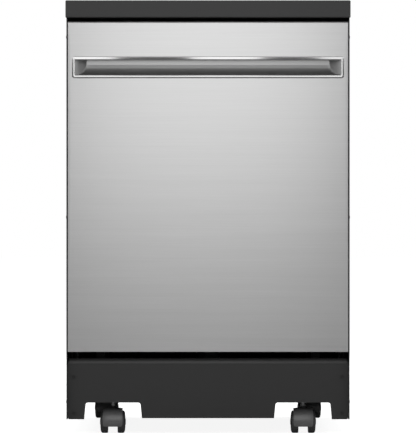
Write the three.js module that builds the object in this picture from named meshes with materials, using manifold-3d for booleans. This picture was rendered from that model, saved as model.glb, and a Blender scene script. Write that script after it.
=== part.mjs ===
// A portable dishwasher on four twin-wheel swivel casters, with its door shut and its racks in.
// Millimetres, +Z up, the door faces -Y, and the origin is on the floor under the worktop's middle.
import * as THREE from "three";
import { mergeVertices } from "three/addons/utils/BufferGeometryUtils.js";
import Module from "manifold-3d";

const wasm = await Module();
wasm.setup();

// ---------------------------------------------------------------- driving dimensions

const OVERALL_HEIGHT = 938;
const WORKTOP = { width: 616, depth: 710, thickness: 37, cornerRadius: 14, edgeRadius: 3 };
const FIT_GAP = 0.3; // between pieces that touch in the real machine
const HOLE_GAP = 0.4; // radial room round pins, screws and stems
const JOIN = 0.3; // how far one solid runs into the next where they are fused

// Painted cabinet sheets: two sides with a folded hem, and a back with a pocket for the hoses.
// Insets are measured from the worktop's edges.
const CABINET = {
  sideInset: 2.5, frontInset: 14, rearInset: 14, sheet: 0.9, hemDepth: 9.5, skirtHeight: 36,
};
const BACK = { sheet: 1.2, skirtHeight: 40, recess: 1 };
const HOSE_POCKET = { width: 340, height: 150, depth: 58, wall: 1.5, belowTop: 60.5, cornerRadius: 12 };
const CORD_GLAND = {
  boreRadius: 4.5, radius: 9, flangeRadius: 14, flange: 3, length: 16, x: -120, rise: 34,
};

// Door: a stainless pan, a liner that plugs the tub, and a control strip along its top edge.
const DOOR = {
  sideGap: 2.5, bottom: 179.5, topGap: 7.5, frontInset: 10, thickness: 42, sheet: 0.8,
  foldRadius: 4,
};
const LINER = { sheet: 1.2, plugDepth: 16.2, plugSide: 40, bottomGap: 3.3, topGap: 8, cornerRadius: 26 };
const HINGE = { behindDoor: 3, aboveDoorEdge: 45.5, pinRadius: 4, arm: 2.5, inset: 13, tail: 36, lobe: 8 };
const HINGE_BRACKET = { gap: 4.5, plate: 2.2, legFront: 68, legWidth: 36, armHeight: 30 };
const HANDLE = {
  sideInset: 9, height: 47.5, belowTop: 74.5, lip: 6.8, lift: 1.5, depth: 27, wall: 2,
  cornerRadius: 4,
};
const FASCIA = { depth: 27.5, height: 23, wall: 2.5 };
const BUTTON = {
  count: 3, width: 24, depth: 11, height: 7, proud: 1, spacing: 52, firstX: 70, cornerRadius: 3,
};
const BOARD = { width: 260, depth: 20, height: 26, belowTop: 33.5, behind: 8 };
const DISPENSER = {
  width: 170, height: 150, belowHandle: 121.5, depth: 40, proud: 1.8, cup: 62, cupDepth: 24,
  rim: 17,
};
const DISPENSER_LID = { width: 73, height: 70, thickness: 3, ridge: 3 };
const RINSE_CAP = { radius: 17, thickness: 3, grip: 3.5, x: 45, rise: 100 };
const LATCH = {
  halfWidth: 6, belowTop: 11.5, pivotInset: 19, past: 19, arm: 3.5, lift: 2.8, tooth: 3, bite: 3.8,
  slotHalf: 10, strikeHalf: 9, strikeGap: 2, strike: 3,
};

// Tub and what stands in it. Gaps are measured from the tub's outside.
const TUB = {
  sideGap: 22, frontGap: 14, rearGap: 10, bottom: 238.2, topGap: 19.5, wall: 1.5, cornerRadius: 30,
  flange: 20,
};
const FLANGE_RISE = 15; // of the tub's front flange above the tub
const GASKET = { width: 10, depth: 9.5, inset: 2.5 };
const SUMP = {
  x: 0, y: -5, radius: 88, wall: 4, bottom: 172, towerRadius: 20, towerTop: 258, spigotRadius: 11,
};
const FILTER = { radius: 27, offset: 52, bottom: 192, top: 246, grip: 8 };
const HEATER = {
  radius: 4, sideGap: 106, frontGap: 119, backGap: 82, height: 250, leg: 30, foot: 212, bend: 26,
  legBend: 7,
};
const FLOAT = { sideGap: 81, frontGap: 69, radius: 21, height: 24, stemRadius: 4, stemLength: 16, lift: 3 };
const CONDUIT = { width: 36, depth: 12, topGap: 8, nozzleRadius: 34, nozzle: 10, portRadius: 16, port: 12 };
const PUMP = {
  radius: 42, length: 118, height: 128, neck: 16, neckReach: 90, volute: 28, shaftCap: 9,
  foot: [50, 90], footHalf: 30,
};
const DRAIN_PUMP = {
  radius: 29, length: 74, neck: 10, neckReach: 60, housing: 22, motorHalf: 22, outlet: 9, outletReach: 50,
};
const INLET_VALVE = {
  sideGap: 115.5, rearGap: 91, body: 46, height: 40, coilRadius: 15, coilTop: 168, portRadius: 11,
};

// Spray arms: tapered blades with a round hub.
const LOWER_ARM = { rackGap: 5, root: 30, tip: 17, thickness: 14, lift: 4, hub: 28, hubHeight: 22 };
const MIDDLE_ARM = { rackGap: 21, root: 24, tip: 14, thickness: 12, drop: 37, hub: 22, hubHeight: 15 };
const SPIGOT_HEIGHT = 17; // of the sump's spigot inside the lower arm's hub
const MIDDLE_SPIGOT = { radius: 10, flange: 15, flangeHeight: 3 };
const ARM_SWING_GAP = 20; // between a spray arm's tip and the conduit behind it

// Wire racks and the cutlery basket. Gaps are measured from the tub's outside.
const WIRE = 4;
const LOWER_RACK = {
  sideGap: 41, frontGap: 27, backGap: 34, bottom: 285, height: 110, columns: 4, rows: 4,
};
const RACK_WHEEL = { radius: 20, width: 9, frontGap: 139, backGap: 77 };
const UPPER_RACK = { sideGap: 35, frontGap: 27, backGap: 46, bottom: 580, height: 92, columns: 4, rows: 4 };
const RAIL = { height: 22, depth: 11, wall: 1.5, aboveRack: 44 };
const SLIDER = { height: 14, thickness: 6 };
const CUTLERY = { width: 230, depth: 62, height: 108, wall: 2.5, cells: 4, frontGap: 10, handle: 26 };

// Base tray, toe kick and casters.
const BASE = {
  plateBottom: 76, plate: 2.5, wall: 2, wallTop: 151, rearWall: 120, rearGap: 8, sideGap: 0.4,
};
const TUB_POST = { sideGap: 33, width: 18, frontGap: 139, backGap: 67 };
const KICK = { frontInset: 12, sheet: 2, bottom: 37, topGap: 18.5, roll: 9, flange: 19, legTab: 26 };
const KICK_NOTCH = { inward: 64, outward: 61, top: 71, draft: 2.2, cornerRadius: 5 };
const SCREW = { radius: 2, headRadius: 4, head: 2.2, length: 11, inset: 13, upperZ: 124.5, lowerZ: 46 };
const SPRING = { radius: 4.5, reach: 238, anchorZ: 112, clearance: 3 };
const CASTER = {
  frontInset: 98.5,
  rearInset: 68.5,
  endInset: 83,
  trail: 18,
  wheelRadius: 25,
  treadHalf: 19.5,
  gapHalf: 10.6,
  outerHalf: 27.4,
  wheelSides: 20,
  hoodGap: 1.5,
  hoodWall: 2.6,
  hoodBottom: 14,
  boss: 9,
  bossRise: 3.2,
  axleRadius: 3.6,
  stemRadius: 4.3,
  stemFoot: 34,
  socketTop: 110,
  socketWall: 3.5,
};

// ---------------------------------------------------------------- values that follow

const worktopBottom = OVERALL_HEIGHT - WORKTOP.thickness;
const worktopFront = -WORKTOP.depth / 2;
const cabinetHalf = WORKTOP.width / 2 - CABINET.sideInset;
const cabinetFront = worktopFront + CABINET.frontInset;
const cabinetBack = WORKTOP.depth / 2 - CABINET.rearInset;
const sheetTop = worktopBottom - 0.5;
const backPanelFace = cabinetBack - BACK.recess;
const backPanelInner = backPanelFace - BACK.sheet;
const pocketFloor = backPanelFace - HOSE_POCKET.depth;
const pocketZ = [sheetTop - HOSE_POCKET.belowTop - HOSE_POCKET.height, sheetTop - HOSE_POCKET.belowTop];
const glandHeight = pocketZ[0] + CORD_GLAND.rise;

const doorHalf = cabinetHalf - DOOR.sideGap;
const doorTop = worktopBottom - DOOR.topGap;
const doorFront = worktopFront + DOOR.frontInset;
const doorBack = doorFront + DOOR.thickness;
const linerFront = doorBack + FIT_GAP;
const linerBack = linerFront + LINER.sheet;
const plugBack = linerBack + LINER.plugDepth;
const plugHalf = doorHalf - LINER.plugSide;
const hingeY = doorBack + HINGE.behindDoor;
const hingeZ = DOOR.bottom + HINGE.aboveDoorEdge;
const hingeArmX = doorHalf - HINGE.inset;
const bracketInner = hingeArmX + HINGE.arm + HINGE_BRACKET.gap;
const hingeBracketX = [bracketInner, bracketInner + HINGE_BRACKET.plate];
const handleHalf = doorHalf - HANDLE.sideInset;
const handleBottom = doorTop - HANDLE.belowTop - HANDLE.height;
const fasciaFront = doorBack - FASCIA.depth - 1;
const fasciaBottom = doorTop - FASCIA.height;
const fasciaMiddle = (fasciaFront + FIT_GAP + doorBack) / 2;
const dispenserBack = plugBack + DISPENSER.proud;
const dispenserZ = [
  handleBottom - DISPENSER.belowHandle - DISPENSER.height,
  handleBottom - DISPENSER.belowHandle,
];

const tubHalf = doorHalf - TUB.sideGap;
const tubFront = doorBack + TUB.frontGap;
const tubBack = pocketFloor - TUB.rearGap;
const tubTop = doorTop - TUB.topGap;
const tubFloor = TUB.bottom + TUB.wall;
const plugZ = [tubFloor + LINER.bottomGap, tubTop - LINER.topGap];
const latchPivot = { y: doorBack - LATCH.pivotInset, z: doorTop - LATCH.belowTop };
const latchTip = tubFront + LATCH.past;
const conduitFront = tubBack - TUB.wall - FIT_GAP - CONDUIT.depth;
const conduitTop = tubTop - CONDUIT.topGap;
const portFront = conduitFront - CONDUIT.port;
const railOuter = tubHalf - TUB.wall - FIT_GAP;
const railInner = railOuter - RAIL.depth;
const railBottom = UPPER_RACK.bottom + RAIL.aboveRack;

const baseHalf = cabinetHalf - CABINET.sheet - BASE.sideGap;
const basePlateTop = BASE.plateBottom + BASE.plate;
const baseBack = cabinetBack - BASE.rearGap;
const kickFront = doorFront + KICK.frontInset;
const kickTop = DOOR.bottom - KICK.topGap;
const baseFront = kickFront + KICK.sheet + HOLE_GAP;
const springAnchorY = hingeY + SPRING.reach;
const axleHeight = CASTER.wheelRadius * Math.cos(Math.PI / CASTER.wheelSides);
const hoodInner = CASTER.wheelRadius + CASTER.hoodGap;
const hoodOuter = hoodInner + CASTER.hoodWall;
const bossTop = axleHeight + hoodOuter + CASTER.bossRise;
const frontCasterX = cabinetHalf - CASTER.frontInset;

// A rack's outline, from its gaps to the tub.
function rackPlan({ sideGap, frontGap, backGap }) {
  return { halfWidth: tubHalf - sideGap, front: tubFront + frontGap, back: tubBack - backGap };
}

const lowerPlan = rackPlan(LOWER_RACK);
const upperPlan = rackPlan(UPPER_RACK);
const lowerArmReach = Math.min(
  lowerPlan.halfWidth - LOWER_ARM.rackGap,
  conduitFront - SUMP.y - ARM_SWING_GAP,
);
const middleArmReach = Math.min(
  upperPlan.halfWidth - MIDDLE_ARM.rackGap,
  portFront - SUMP.y - ARM_SWING_GAP,
);
const heaterBack = tubBack - HEATER.backGap;
const floatX = -(tubHalf - FLOAT.sideGap);
const floatY = tubFront + FLOAT.frontGap;
const lowerArmBottom = SUMP.towerTop + LOWER_ARM.lift;
const middleArmBottom = UPPER_RACK.bottom - MIDDLE_ARM.drop;
const portHeight = UPPER_RACK.bottom - CONDUIT.portRadius + WIRE / 2;

// ---------------------------------------------------------------- finishes

function finish(color, roughness, metalness) {
  return new THREE.MeshStandardMaterial({ color, roughness, metalness });
}

const FINISH = {
  stainless: finish(0xc4c4c4, 0.34, 1),
  brightTrim: finish(0xd2d2d2, 0.2, 1),
  pocket: finish(0x6b6b6b, 0.35, 0.8),
  worktop: finish(0x424242, 0.55, 0),
  blackPaint: finish(0x1c1c1c, 0.5, 0),
  kickPlastic: finish(0x343434, 0.6, 0),
  darkPlastic: finish(0x232323, 0.55, 0),
  greyPlastic: finish(0x8d9296, 0.5, 0),
  wire: finish(0x9aa0a4, 0.45, 0.1),
  rubber: finish(0x2b2b2b, 0.8, 0),
  steel: finish(0xb0b0b0, 0.3, 1),
  galvanised: finish(0x9c9fa1, 0.5, 0.9),
};

// ---------------------------------------------------------------- solids from three.js geometry

// A closed geometry as a solid with its faces pointing out, whichever way its profile was drawn.
function solid(geometry) {
  const plain = geometry.clone();
  plain.deleteAttribute("normal");
  plain.deleteAttribute("uv");
  const merged = mergeVertices(plain, 1e-4);
  const points = merged.getAttribute("position").array;
  const triangles = Uint32Array.from(merged.index.array);
  if (signedVolume(points, triangles) < 0) triangles.reverse();
  return new wasm.Manifold(new wasm.Mesh({ numProp: 3, vertProperties: points, triVerts: triangles }));
}

function signedVolume(points, triangles) {
  const corner = (index) => new THREE.Vector3().fromArray(points, 3 * triangles[index]);
  let sum = 0;
  for (let i = 0; i < triangles.length; i += 3) {
    sum += corner(i).dot(corner(i + 1).cross(corner(i + 2)));
  }
  return sum / 6;
}

function block([x0, x1], [y0, y1], [z0, z1]) {
  const box = new THREE.BoxGeometry(x1 - x0, y1 - y0, z1 - z0);
  return solid(box.translate((x0 + x1) / 2, (y0 + y1) / 2, (z0 + z1) / 2));
}

// Extrusions: a shape drawn in XY, XZ or YZ and pulled along the third axis.
function pullAlongZ(shape, [z0, z1], curveSegments = 6) {
  const made = new THREE.ExtrudeGeometry(shape, { depth: z1 - z0, bevelEnabled: false, curveSegments });
  return solid(made.translate(0, 0, z0));
}

function pullAlongY(shape, [y0, y1], curveSegments = 6) {
  const made = new THREE.ExtrudeGeometry(shape, { depth: y1 - y0, bevelEnabled: false, curveSegments });
  return solid(made.rotateX(Math.PI / 2).translate(0, y1, 0));
}

function pullAlongX(shape, [x0, x1], curveSegments = 6) {
  const made = new THREE.ExtrudeGeometry(shape, { depth: x1 - x0, bevelEnabled: false, curveSegments });
  const yzx = new THREE.Matrix4().makeBasis(
    new THREE.Vector3(0, 1, 0),
    new THREE.Vector3(0, 0, 1),
    new THREE.Vector3(1, 0, 0),
  );
  return solid(made.applyMatrix4(yzx).translate(x0, 0, 0));
}

function rectangle([u0, u1], [v0, v1], radius = 0) {
  const shape = new THREE.Shape();
  if (radius === 0) {
    return shape.moveTo(u0, v0).lineTo(u1, v0).lineTo(u1, v1).lineTo(u0, v1).closePath();
  }
  const quarter = Math.PI / 2;
  shape.moveTo(u0 + radius, v0).lineTo(u1 - radius, v0);
  shape.absarc(u1 - radius, v0 + radius, radius, -quarter, 0);
  shape.absarc(u1 - radius, v1 - radius, radius, 0, quarter);
  shape.absarc(u0 + radius, v1 - radius, radius, quarter, 2 * quarter);
  shape.absarc(u0 + radius, v0 + radius, radius, 2 * quarter, 3 * quarter);
  return shape.closePath();
}

function outline(points) {
  return new THREE.Shape(points.map(([u, v]) => new THREE.Vector2(u, v)));
}

function disc(u, v, radius) {
  return new THREE.Shape().absarc(u, v, radius, 0, 2 * Math.PI);
}

const CYLINDER_AXIS = new THREE.Vector3(0, 1, 0); // of three.js's own cylinders

// A straight round bar between two points.
function bar(start, end, radius, sides = 12) {
  const from = new THREE.Vector3(...start);
  const to = new THREE.Vector3(...end);
  const along = to.clone().sub(from);
  const made = new THREE.CylinderGeometry(radius, radius, along.length(), sides);
  made.applyQuaternion(new THREE.Quaternion().setFromUnitVectors(CYLINDER_AXIS, along.normalize()));
  return solid(made.translate(...from.add(to).multiplyScalar(0.5).toArray()));
}

// A profile of [distance along the axis, radius] turned round the X axis, with a flat facing down.
function turnAboutX(profile, sides) {
  const points = profile.map(([along, radius]) => new THREE.Vector2(radius, along));
  const made = new THREE.LatheGeometry([...points, points[0]], sides, Math.PI / sides);
  return solid(made.rotateZ(-Math.PI / 2));
}

function union(pieces) {
  return pieces.reduce((whole, piece) => whole.add(piece));
}

function cut(body, pieces) {
  return pieces.reduce((rest, piece) => rest.subtract(piece), body);
}

// The same piece on the other side of the machine's middle plane.
function mirrored(piece) {
  return piece.mirror([1, 0, 0]);
}

function bothSides(piece) {
  return [piece, mirrored(piece)];
}

function add(parent, name, piece, material) {
  const mesh = piece.getMesh();
  const geometry = new THREE.BufferGeometry();
  const points = new Float32Array(mesh.numVert * 3);
  for (let i = 0; i < mesh.numVert; i++) {
    points.set(mesh.vertProperties.subarray(i * mesh.numProp, i * mesh.numProp + 3), i * 3);
  }
  geometry.setAttribute("position", new THREE.BufferAttribute(points, 3));
  geometry.setIndex(new THREE.BufferAttribute(mesh.triVerts, 1));
  geometry.computeVertexNormals();
  const made = new THREE.Mesh(geometry, material);
  made.name = name;
  parent.add(made);
  return made;
}

// ---------------------------------------------------------------- cabinet

function worktop() {
  const { width, depth, thickness, cornerRadius, edgeRadius } = WORKTOP;
  const flat = rectangle(
    [-width / 2 + edgeRadius, width / 2 - edgeRadius],
    [-depth / 2 + edgeRadius, depth / 2 - edgeRadius],
    cornerRadius - edgeRadius,
  );
  const made = new THREE.ExtrudeGeometry(flat, {
    depth: thickness - 2 * edgeRadius,
    bevelSize: edgeRadius,
    bevelThickness: edgeRadius,
    bevelSegments: 2,
    curveSegments: 4,
  });
  return solid(made.translate(0, 0, worktopBottom + edgeRadius));
}

function rightSidePanel() {
  const inner = cabinetHalf - CABINET.sheet;
  const height = [CABINET.skirtHeight, sheetTop];
  const sheet = block([inner, cabinetHalf], [cabinetFront, cabinetBack], height);
  const hem = block(
    [inner - CABINET.sheet, inner],
    [cabinetFront, cabinetFront + CABINET.hemDepth],
    height,
  );
  return sheet.add(hem);
}

function pocketPrism(margin, y) {
  const half = HOSE_POCKET.width / 2 - margin;
  const z = [pocketZ[0] + margin, pocketZ[1] - margin];
  return pullAlongY(rectangle([-half, half], z, HOSE_POCKET.cornerRadius - margin), y, 3);
}

function rearPanel() {
  const half = cabinetHalf - CABINET.sheet - FIT_GAP;
  const sheet = block([-half, half], [backPanelInner, backPanelFace], [BACK.skirtHeight, sheetTop]);
  const pocket = pocketPrism(0, [pocketFloor, backPanelInner + JOIN]);
  const hollow = pocketPrism(HOSE_POCKET.wall, [pocketFloor + HOSE_POCKET.wall, backPanelFace + 1]);
  const at = (y) => [CORD_GLAND.x, y, glandHeight];
  const glandHole = bar(
    at(pocketFloor - 1),
    at(pocketFloor + 2 * HOSE_POCKET.wall),
    CORD_GLAND.radius + HOLE_GAP,
    16,
  );
  return cut(sheet.add(pocket), [hollow, glandHole]);
}

// The bushing that the supply cord comes out of; its flange sits on the pocket's floor.
function cordGland() {
  const floor = pocketFloor + HOSE_POCKET.wall;
  const at = (y) => [CORD_GLAND.x, y, glandHeight];
  const back = floor + CORD_GLAND.length;
  const front = pocketFloor - HOSE_POCKET.wall;
  const barrel = bar(at(front), at(back), CORD_GLAND.radius, 16);
  const flange = bar(
    at(floor + FIT_GAP),
    at(floor + FIT_GAP + CORD_GLAND.flange),
    CORD_GLAND.flangeRadius,
    16,
  );
  const bore = bar(at(front - 1), at(back + 1), CORD_GLAND.boreRadius, 12);
  return barrel.add(flange).subtract(bore);
}

// ---------------------------------------------------------------- base tray, toe kick and screws

function screwPlaces() {
  const x = doorHalf - SCREW.inset;
  return [SCREW.upperZ, SCREW.lowerZ].flatMap((z) => [{ x: -x, z }, { x, z }]);
}

function casterPlaces() {
  const y = WORKTOP.depth / 2 - CASTER.endInset;
  const rearX = cabinetHalf - CASTER.rearInset;
  return [
    { name: "front_left", x: -frontCasterX, y: -y },
    { name: "front_right", x: frontCasterX, y: -y },
    { name: "rear_left", x: -rearX, y },
    { name: "rear_right", x: rearX, y },
  ];
}

// The bracket that carries a hinge pin: up from the plate, then forward over the door's swing.
function rightHingeBracket() {
  const { legFront, legWidth, armHeight } = HINGE_BRACKET;
  const leg = [hingeY + legFront, hingeY + legFront + legWidth];
  const lobe = HINGE.lobe;
  const shape = outline([
    [leg[0], basePlateTop - JOIN],
    [leg[1], basePlateTop - JOIN],
    [leg[1], hingeZ + armHeight],
    [hingeY - lobe, hingeZ + armHeight],
    [hingeY - lobe, hingeZ],
    [hingeY, hingeZ - lobe],
    [hingeY + lobe, hingeZ],
    [hingeY + lobe, hingeZ + lobe],
    [leg[0], hingeZ + lobe],
  ]);
  const [x0, x1] = hingeBracketX;
  const pinHole = bar([x0 - 1, hingeY, hingeZ], [x1 + 1, hingeY, hingeZ], HINGE.pinRadius + HOLE_GAP, 16);
  return pullAlongX(shape, hingeBracketX).subtract(pinHole);
}

function springAnchor() {
  const front = springAnchorY + 1;
  const x = [hingeArmX - 3, hingeArmX + 4];
  return block(x, [front, front + 4], [BASE.plateBottom, SPRING.anchorZ + 6]);
}

function baseTray() {
  const { plateBottom, wall, wallTop, rearWall } = BASE;
  const y = [baseFront, baseBack];
  const plate = block([-baseHalf, baseHalf], y, [plateBottom, basePlateTop]);
  const sideWall = block([baseHalf - wall, baseHalf], y, [plateBottom, wallTop]);
  const rear = block([-baseHalf, baseHalf], [baseBack - wall, baseBack], [plateBottom, rearWall]);
  const tabX = [baseHalf - KICK.legTab, baseHalf - wall / 2];
  const tab = block(tabX, [baseFront, baseFront + wall], [KICK.bottom + 1, wallTop - wall]);
  const postX = [tubHalf - TUB_POST.sideGap - TUB_POST.width, tubHalf - TUB_POST.sideGap];
  const posts = [tubFront + TUB_POST.frontGap, tubBack - TUB_POST.backGap].map((front) =>
    block(postX, [front, front + TUB_POST.width], [plateBottom, TUB.bottom - FIT_GAP]));
  const upright = (x, y0, from, to, radius) => bar([x, y0, from], [x, y0, to], radius, 14);
  const sockets = casterPlaces().map((at) =>
    upright(at.x, at.y, basePlateTop - JOIN, CASTER.socketTop, CASTER.stemRadius + CASTER.socketWall));
  const bores = casterPlaces().map((at) =>
    upright(at.x, at.y, plateBottom - 1, CASTER.socketTop + 1, CASTER.stemRadius + HOLE_GAP));
  const screwHoles = screwPlaces().map(({ x, z }) =>
    bar([x, baseFront - 1, z], [x, baseFront + wall + 1, z], SCREW.radius + HOLE_GAP, 8));
  const body = union([
    plate,
    rear,
    ...[sideWall, tab, springAnchor(), rightHingeBracket(), ...posts].flatMap(bothSides),
    ...sockets,
  ]);
  return cut(body, [...bores, ...screwHoles]);
}

// Front skirt under the door: a rolled top edge, two caster notches and four screw holes.
function toeKick() {
  const { sheet, bottom, roll, flange } = KICK;
  const [front, top] = [kickFront, kickTop];
  const rollAt = [front + roll, top - roll];
  const profile = new THREE.Shape();
  profile.moveTo(front, bottom).lineTo(front, top - roll);
  profile.absarc(...rollAt, roll, Math.PI, Math.PI / 2, true);
  profile.lineTo(front + flange, top).lineTo(front + flange, top - sheet).lineTo(front + roll, top - sheet);
  profile.absarc(...rollAt, roll - sheet, Math.PI / 2, Math.PI, false);
  profile.lineTo(front + sheet, bottom).closePath();
  const skirt = pullAlongX(profile, [-doorHalf, doorHalf], 5);
  const through = [front - 1, front + sheet + 1];
  const notch = pullAlongY(kickNotch(), through, 4);
  const holes = screwPlaces().map(({ x, z }) => bar(
    [x, through[0], z],
    [x, through[1], z],
    SCREW.radius + HOLE_GAP,
    8,
  ));
  return cut(skirt, [...bothSides(notch), ...holes]);
}

// The notch that lets a front caster swing, a little narrower at its top.
function kickNotch() {
  const { inward, outward, top, draft, cornerRadius: r } = KICK_NOTCH;
  const [left, right] = [frontCasterX - inward, frontCasterX + outward];
  const notch = new THREE.Shape();
  notch.moveTo(left, KICK.bottom - 1).lineTo(right, KICK.bottom - 1).lineTo(right - draft, top - r);
  notch.quadraticCurveTo(right - draft, top, right - draft - r, top);
  notch.lineTo(left + draft + r, top);
  return notch.quadraticCurveTo(left + draft, top, left + draft, top - r).closePath();
}

// Pan-head screw with a cross recess, its head on the kick and pointing at the door side.
function kickScrew() {
  const seat = -FIT_GAP;
  const head = bar([0, seat - SCREW.head, 0], [0, seat, 0], SCREW.headRadius, 14);
  const shank = bar([0, seat - 0.5, 0], [0, SCREW.length, 0], SCREW.radius, 8);
  const slotHalf = SCREW.headRadius * 0.6;
  const slotY = [seat - SCREW.head - 1, seat - SCREW.head + 1.1];
  const across = block([-slotHalf, slotHalf], slotY, [-0.5, 0.5]);
  const upright = block([-0.5, 0.5], slotY, [-slotHalf, slotHalf]);
  return cut(head.add(shank), [across, upright]);
}

// ---------------------------------------------------------------- tub and its fittings

function tubSection(margin) {
  return rectangle(
    [-tubHalf + margin, tubHalf - margin],
    [TUB.bottom + margin, tubTop - margin],
    TUB.cornerRadius - margin,
  );
}

function tub() {
  const { wall, flange, bottom } = TUB;
  const shell = pullAlongY(tubSection(0), [tubFront, tubBack]);
  const side = tubHalf + flange;
  const neck = tubHalf + 2 * wall;
  const hingeNotchTop = hingeZ + HINGE.tail + 2 * HINGE.lobe;
  const top = tubTop + FLANGE_RISE;
  const half = [[neck, bottom], [neck, hingeNotchTop], [side, hingeNotchTop], [side, top]];
  const rim = outline([...half, ...half.map(([x, z]) => [-x, z]).reverse()]);
  const flangePlate = pullAlongY(rim, [tubFront - wall, tubFront + JOIN]);
  const cavity = pullAlongY(tubSection(wall), [tubFront - wall - 1, tubBack - wall]);
  const strikeBack = latchTip - LATCH.tooth - LATCH.strikeGap;
  const strike = block(
    [-LATCH.strikeHalf, LATCH.strikeHalf],
    [strikeBack - LATCH.strike, strikeBack],
    [tubTop - wall / 2, latchPivot.z - 3],
  );
  const latchSlot = block(
    [-LATCH.slotHalf, LATCH.slotHalf],
    [tubFront - wall - 1, tubFront + 2 * JOIN],
    [latchPivot.z - 4, top + 1],
  );
  const floorHole = (x, y, radius, sides) => bar([x, y, bottom - 1], [x, y, tubFloor + 1], radius, sides);
  const holes = [
    floorHole(SUMP.x, SUMP.y, SUMP.radius + HOLE_GAP, 32),
    floorHole(-HEATER.leg, heaterBack, HEATER.radius + 1, 12),
    floorHole(HEATER.leg, heaterBack, HEATER.radius + 1, 12),
    floorHole(floatX, floatY, FLOAT.stemRadius + HOLE_GAP, 12),
  ];
  return cut(union([shell, flangePlate, strike]), [cavity, latchSlot, ...holes]);
}

// Door seal: one strip round the sides and the top of the tub's mouth.
function tubGasket() {
  const { width, depth, inset } = GASKET;
  const back = tubFront - TUB.wall - FIT_GAP;
  const outer = tubHalf + width - inset;
  const inner = outer - width;
  const top = tubTop + width - inset;
  const bottom = tubFloor + 6;
  const radius = TUB.cornerRadius;
  const path = new THREE.Shape();
  path.moveTo(outer, bottom).lineTo(outer, top - radius);
  path.absarc(outer - radius, top - radius, radius, 0, Math.PI / 2);
  path.absarc(-outer + radius, top - radius, radius, Math.PI / 2, Math.PI);
  path.lineTo(-outer, bottom).lineTo(-inner, bottom);
  path.absarc(-outer + radius, top - radius, radius - width, Math.PI, Math.PI / 2, true);
  path.absarc(outer - radius, top - radius, radius - width, Math.PI / 2, 0, true);
  path.lineTo(inner, bottom).closePath();
  return pullAlongY(path, [back - depth, back], 5);
}

function sump() {
  const { x, y, radius, wall, bottom, towerRadius, towerTop, spigotRadius } = SUMP;
  const at = (z) => [x, y, z];
  const neck = (reach, size) => bar([x, y, PUMP.height], [x + reach, y, PUMP.height], size, 16);
  const bowl = bar(at(bottom), at(tubFloor), radius, 32);
  const hollow = bar(at(bottom + 3 * wall), at(tubFloor + 1), radius - wall, 32);
  const tower = bar(at(bottom + 1), at(towerTop), towerRadius, 20);
  const spigot = bar(at(towerTop - 1), at(towerTop + SPIGOT_HEIGHT), spigotRadius, 16);
  const well = bar(at(PUMP.height - PUMP.neck - 6), at(bottom + 1), PUMP.neck + 10, 20);
  const necks = [neck(PUMP.neckReach, PUMP.neck), neck(-DRAIN_PUMP.neckReach, DRAIN_PUMP.neck)];
  return union([bowl.subtract(hollow), tower, spigot, well, ...necks]);
}

// Round filter cup beside the sump's tower, open at the top, with a bar to twist it by.
function filter() {
  const at = (z) => [SUMP.x + FILTER.offset, SUMP.y, z];
  const cup = bar(at(FILTER.bottom), at(FILTER.top), FILTER.radius, 20);
  const hollow = bar(at(FILTER.bottom + 3), at(FILTER.top + 1), FILTER.radius - 2, 20);
  const [cx, cy] = at(0);
  const reach = FILTER.radius - 1;
  const grip = block(
    [cx - reach, cx + reach],
    [cy - 2.5, cy + 2.5],
    [FILTER.top - 6, FILTER.top + FILTER.grip],
  );
  return cup.subtract(hollow).add(grip);
}

function circulationPump() {
  const start = SUMP.x + PUMP.neckReach + FIT_GAP;
  const turned = (from, to, radius) => bar(
    [start + from, SUMP.y, PUMP.height],
    [start + to, SUMP.y, PUMP.height],
    radius,
    24,
  );
  const motor = turned(PUMP.volute - 2, PUMP.length, PUMP.radius - 4);
  const volute = turned(0, PUMP.volute, PUMP.radius);
  const shaftCap = turned(PUMP.length - 1, PUMP.length + PUMP.shaftCap, PUMP.radius / 3);
  const foot = block(
    PUMP.foot.map((x) => start + x),
    [SUMP.y - PUMP.footHalf, SUMP.y + PUMP.footHalf],
    [basePlateTop + FIT_GAP, PUMP.height - PUMP.radius / 2],
  );
  return union([motor, volute, shaftCap, foot]);
}

function drainPump() {
  const start = SUMP.x - DRAIN_PUMP.neckReach - FIT_GAP;
  const { radius, length, motorHalf, outletReach } = DRAIN_PUMP;
  const at = (back, y) => [start - back, y, PUMP.height];
  const housing = bar(at(0, SUMP.y), at(DRAIN_PUMP.housing, SUMP.y), radius, 20);
  const motor = block(
    [start - length, start - DRAIN_PUMP.housing + 1],
    [SUMP.y - motorHalf, SUMP.y + motorHalf],
    [PUMP.height - motorHalf + 2, PUMP.height + motorHalf - 2],
  );
  const middle = DRAIN_PUMP.housing / 2;
  const outlet = bar(at(middle, SUMP.y), at(middle, SUMP.y + outletReach), DRAIN_PUMP.outlet, 12);
  return union([housing, motor, outlet]);
}

// Water inlet valve: a block with two coils and a port towards the back, on the base tray.
function inletValve() {
  const { sideGap, rearGap, body, height, coilRadius, coilTop, portRadius } = INLET_VALVE;
  const [x, y] = [sideGap - cabinetHalf, cabinetBack - rearGap];
  const bottom = basePlateTop + FIT_GAP;
  const half = body / 2;
  const housing = block([x - half, x + half], [y - half / 2, y + half / 2], [bottom, bottom + height]);
  const coils = [-half / 2, half / 2].map((dx) =>
    bar([x + dx * 1.5, y, bottom + height - 1], [x + dx * 1.5, y, coilTop], coilRadius, 14));
  const port = bar([x, y, bottom + height / 2], [x, y + half + 12, bottom + height / 2], portRadius, 14);
  return union([housing, ...coils, port]);
}

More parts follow.
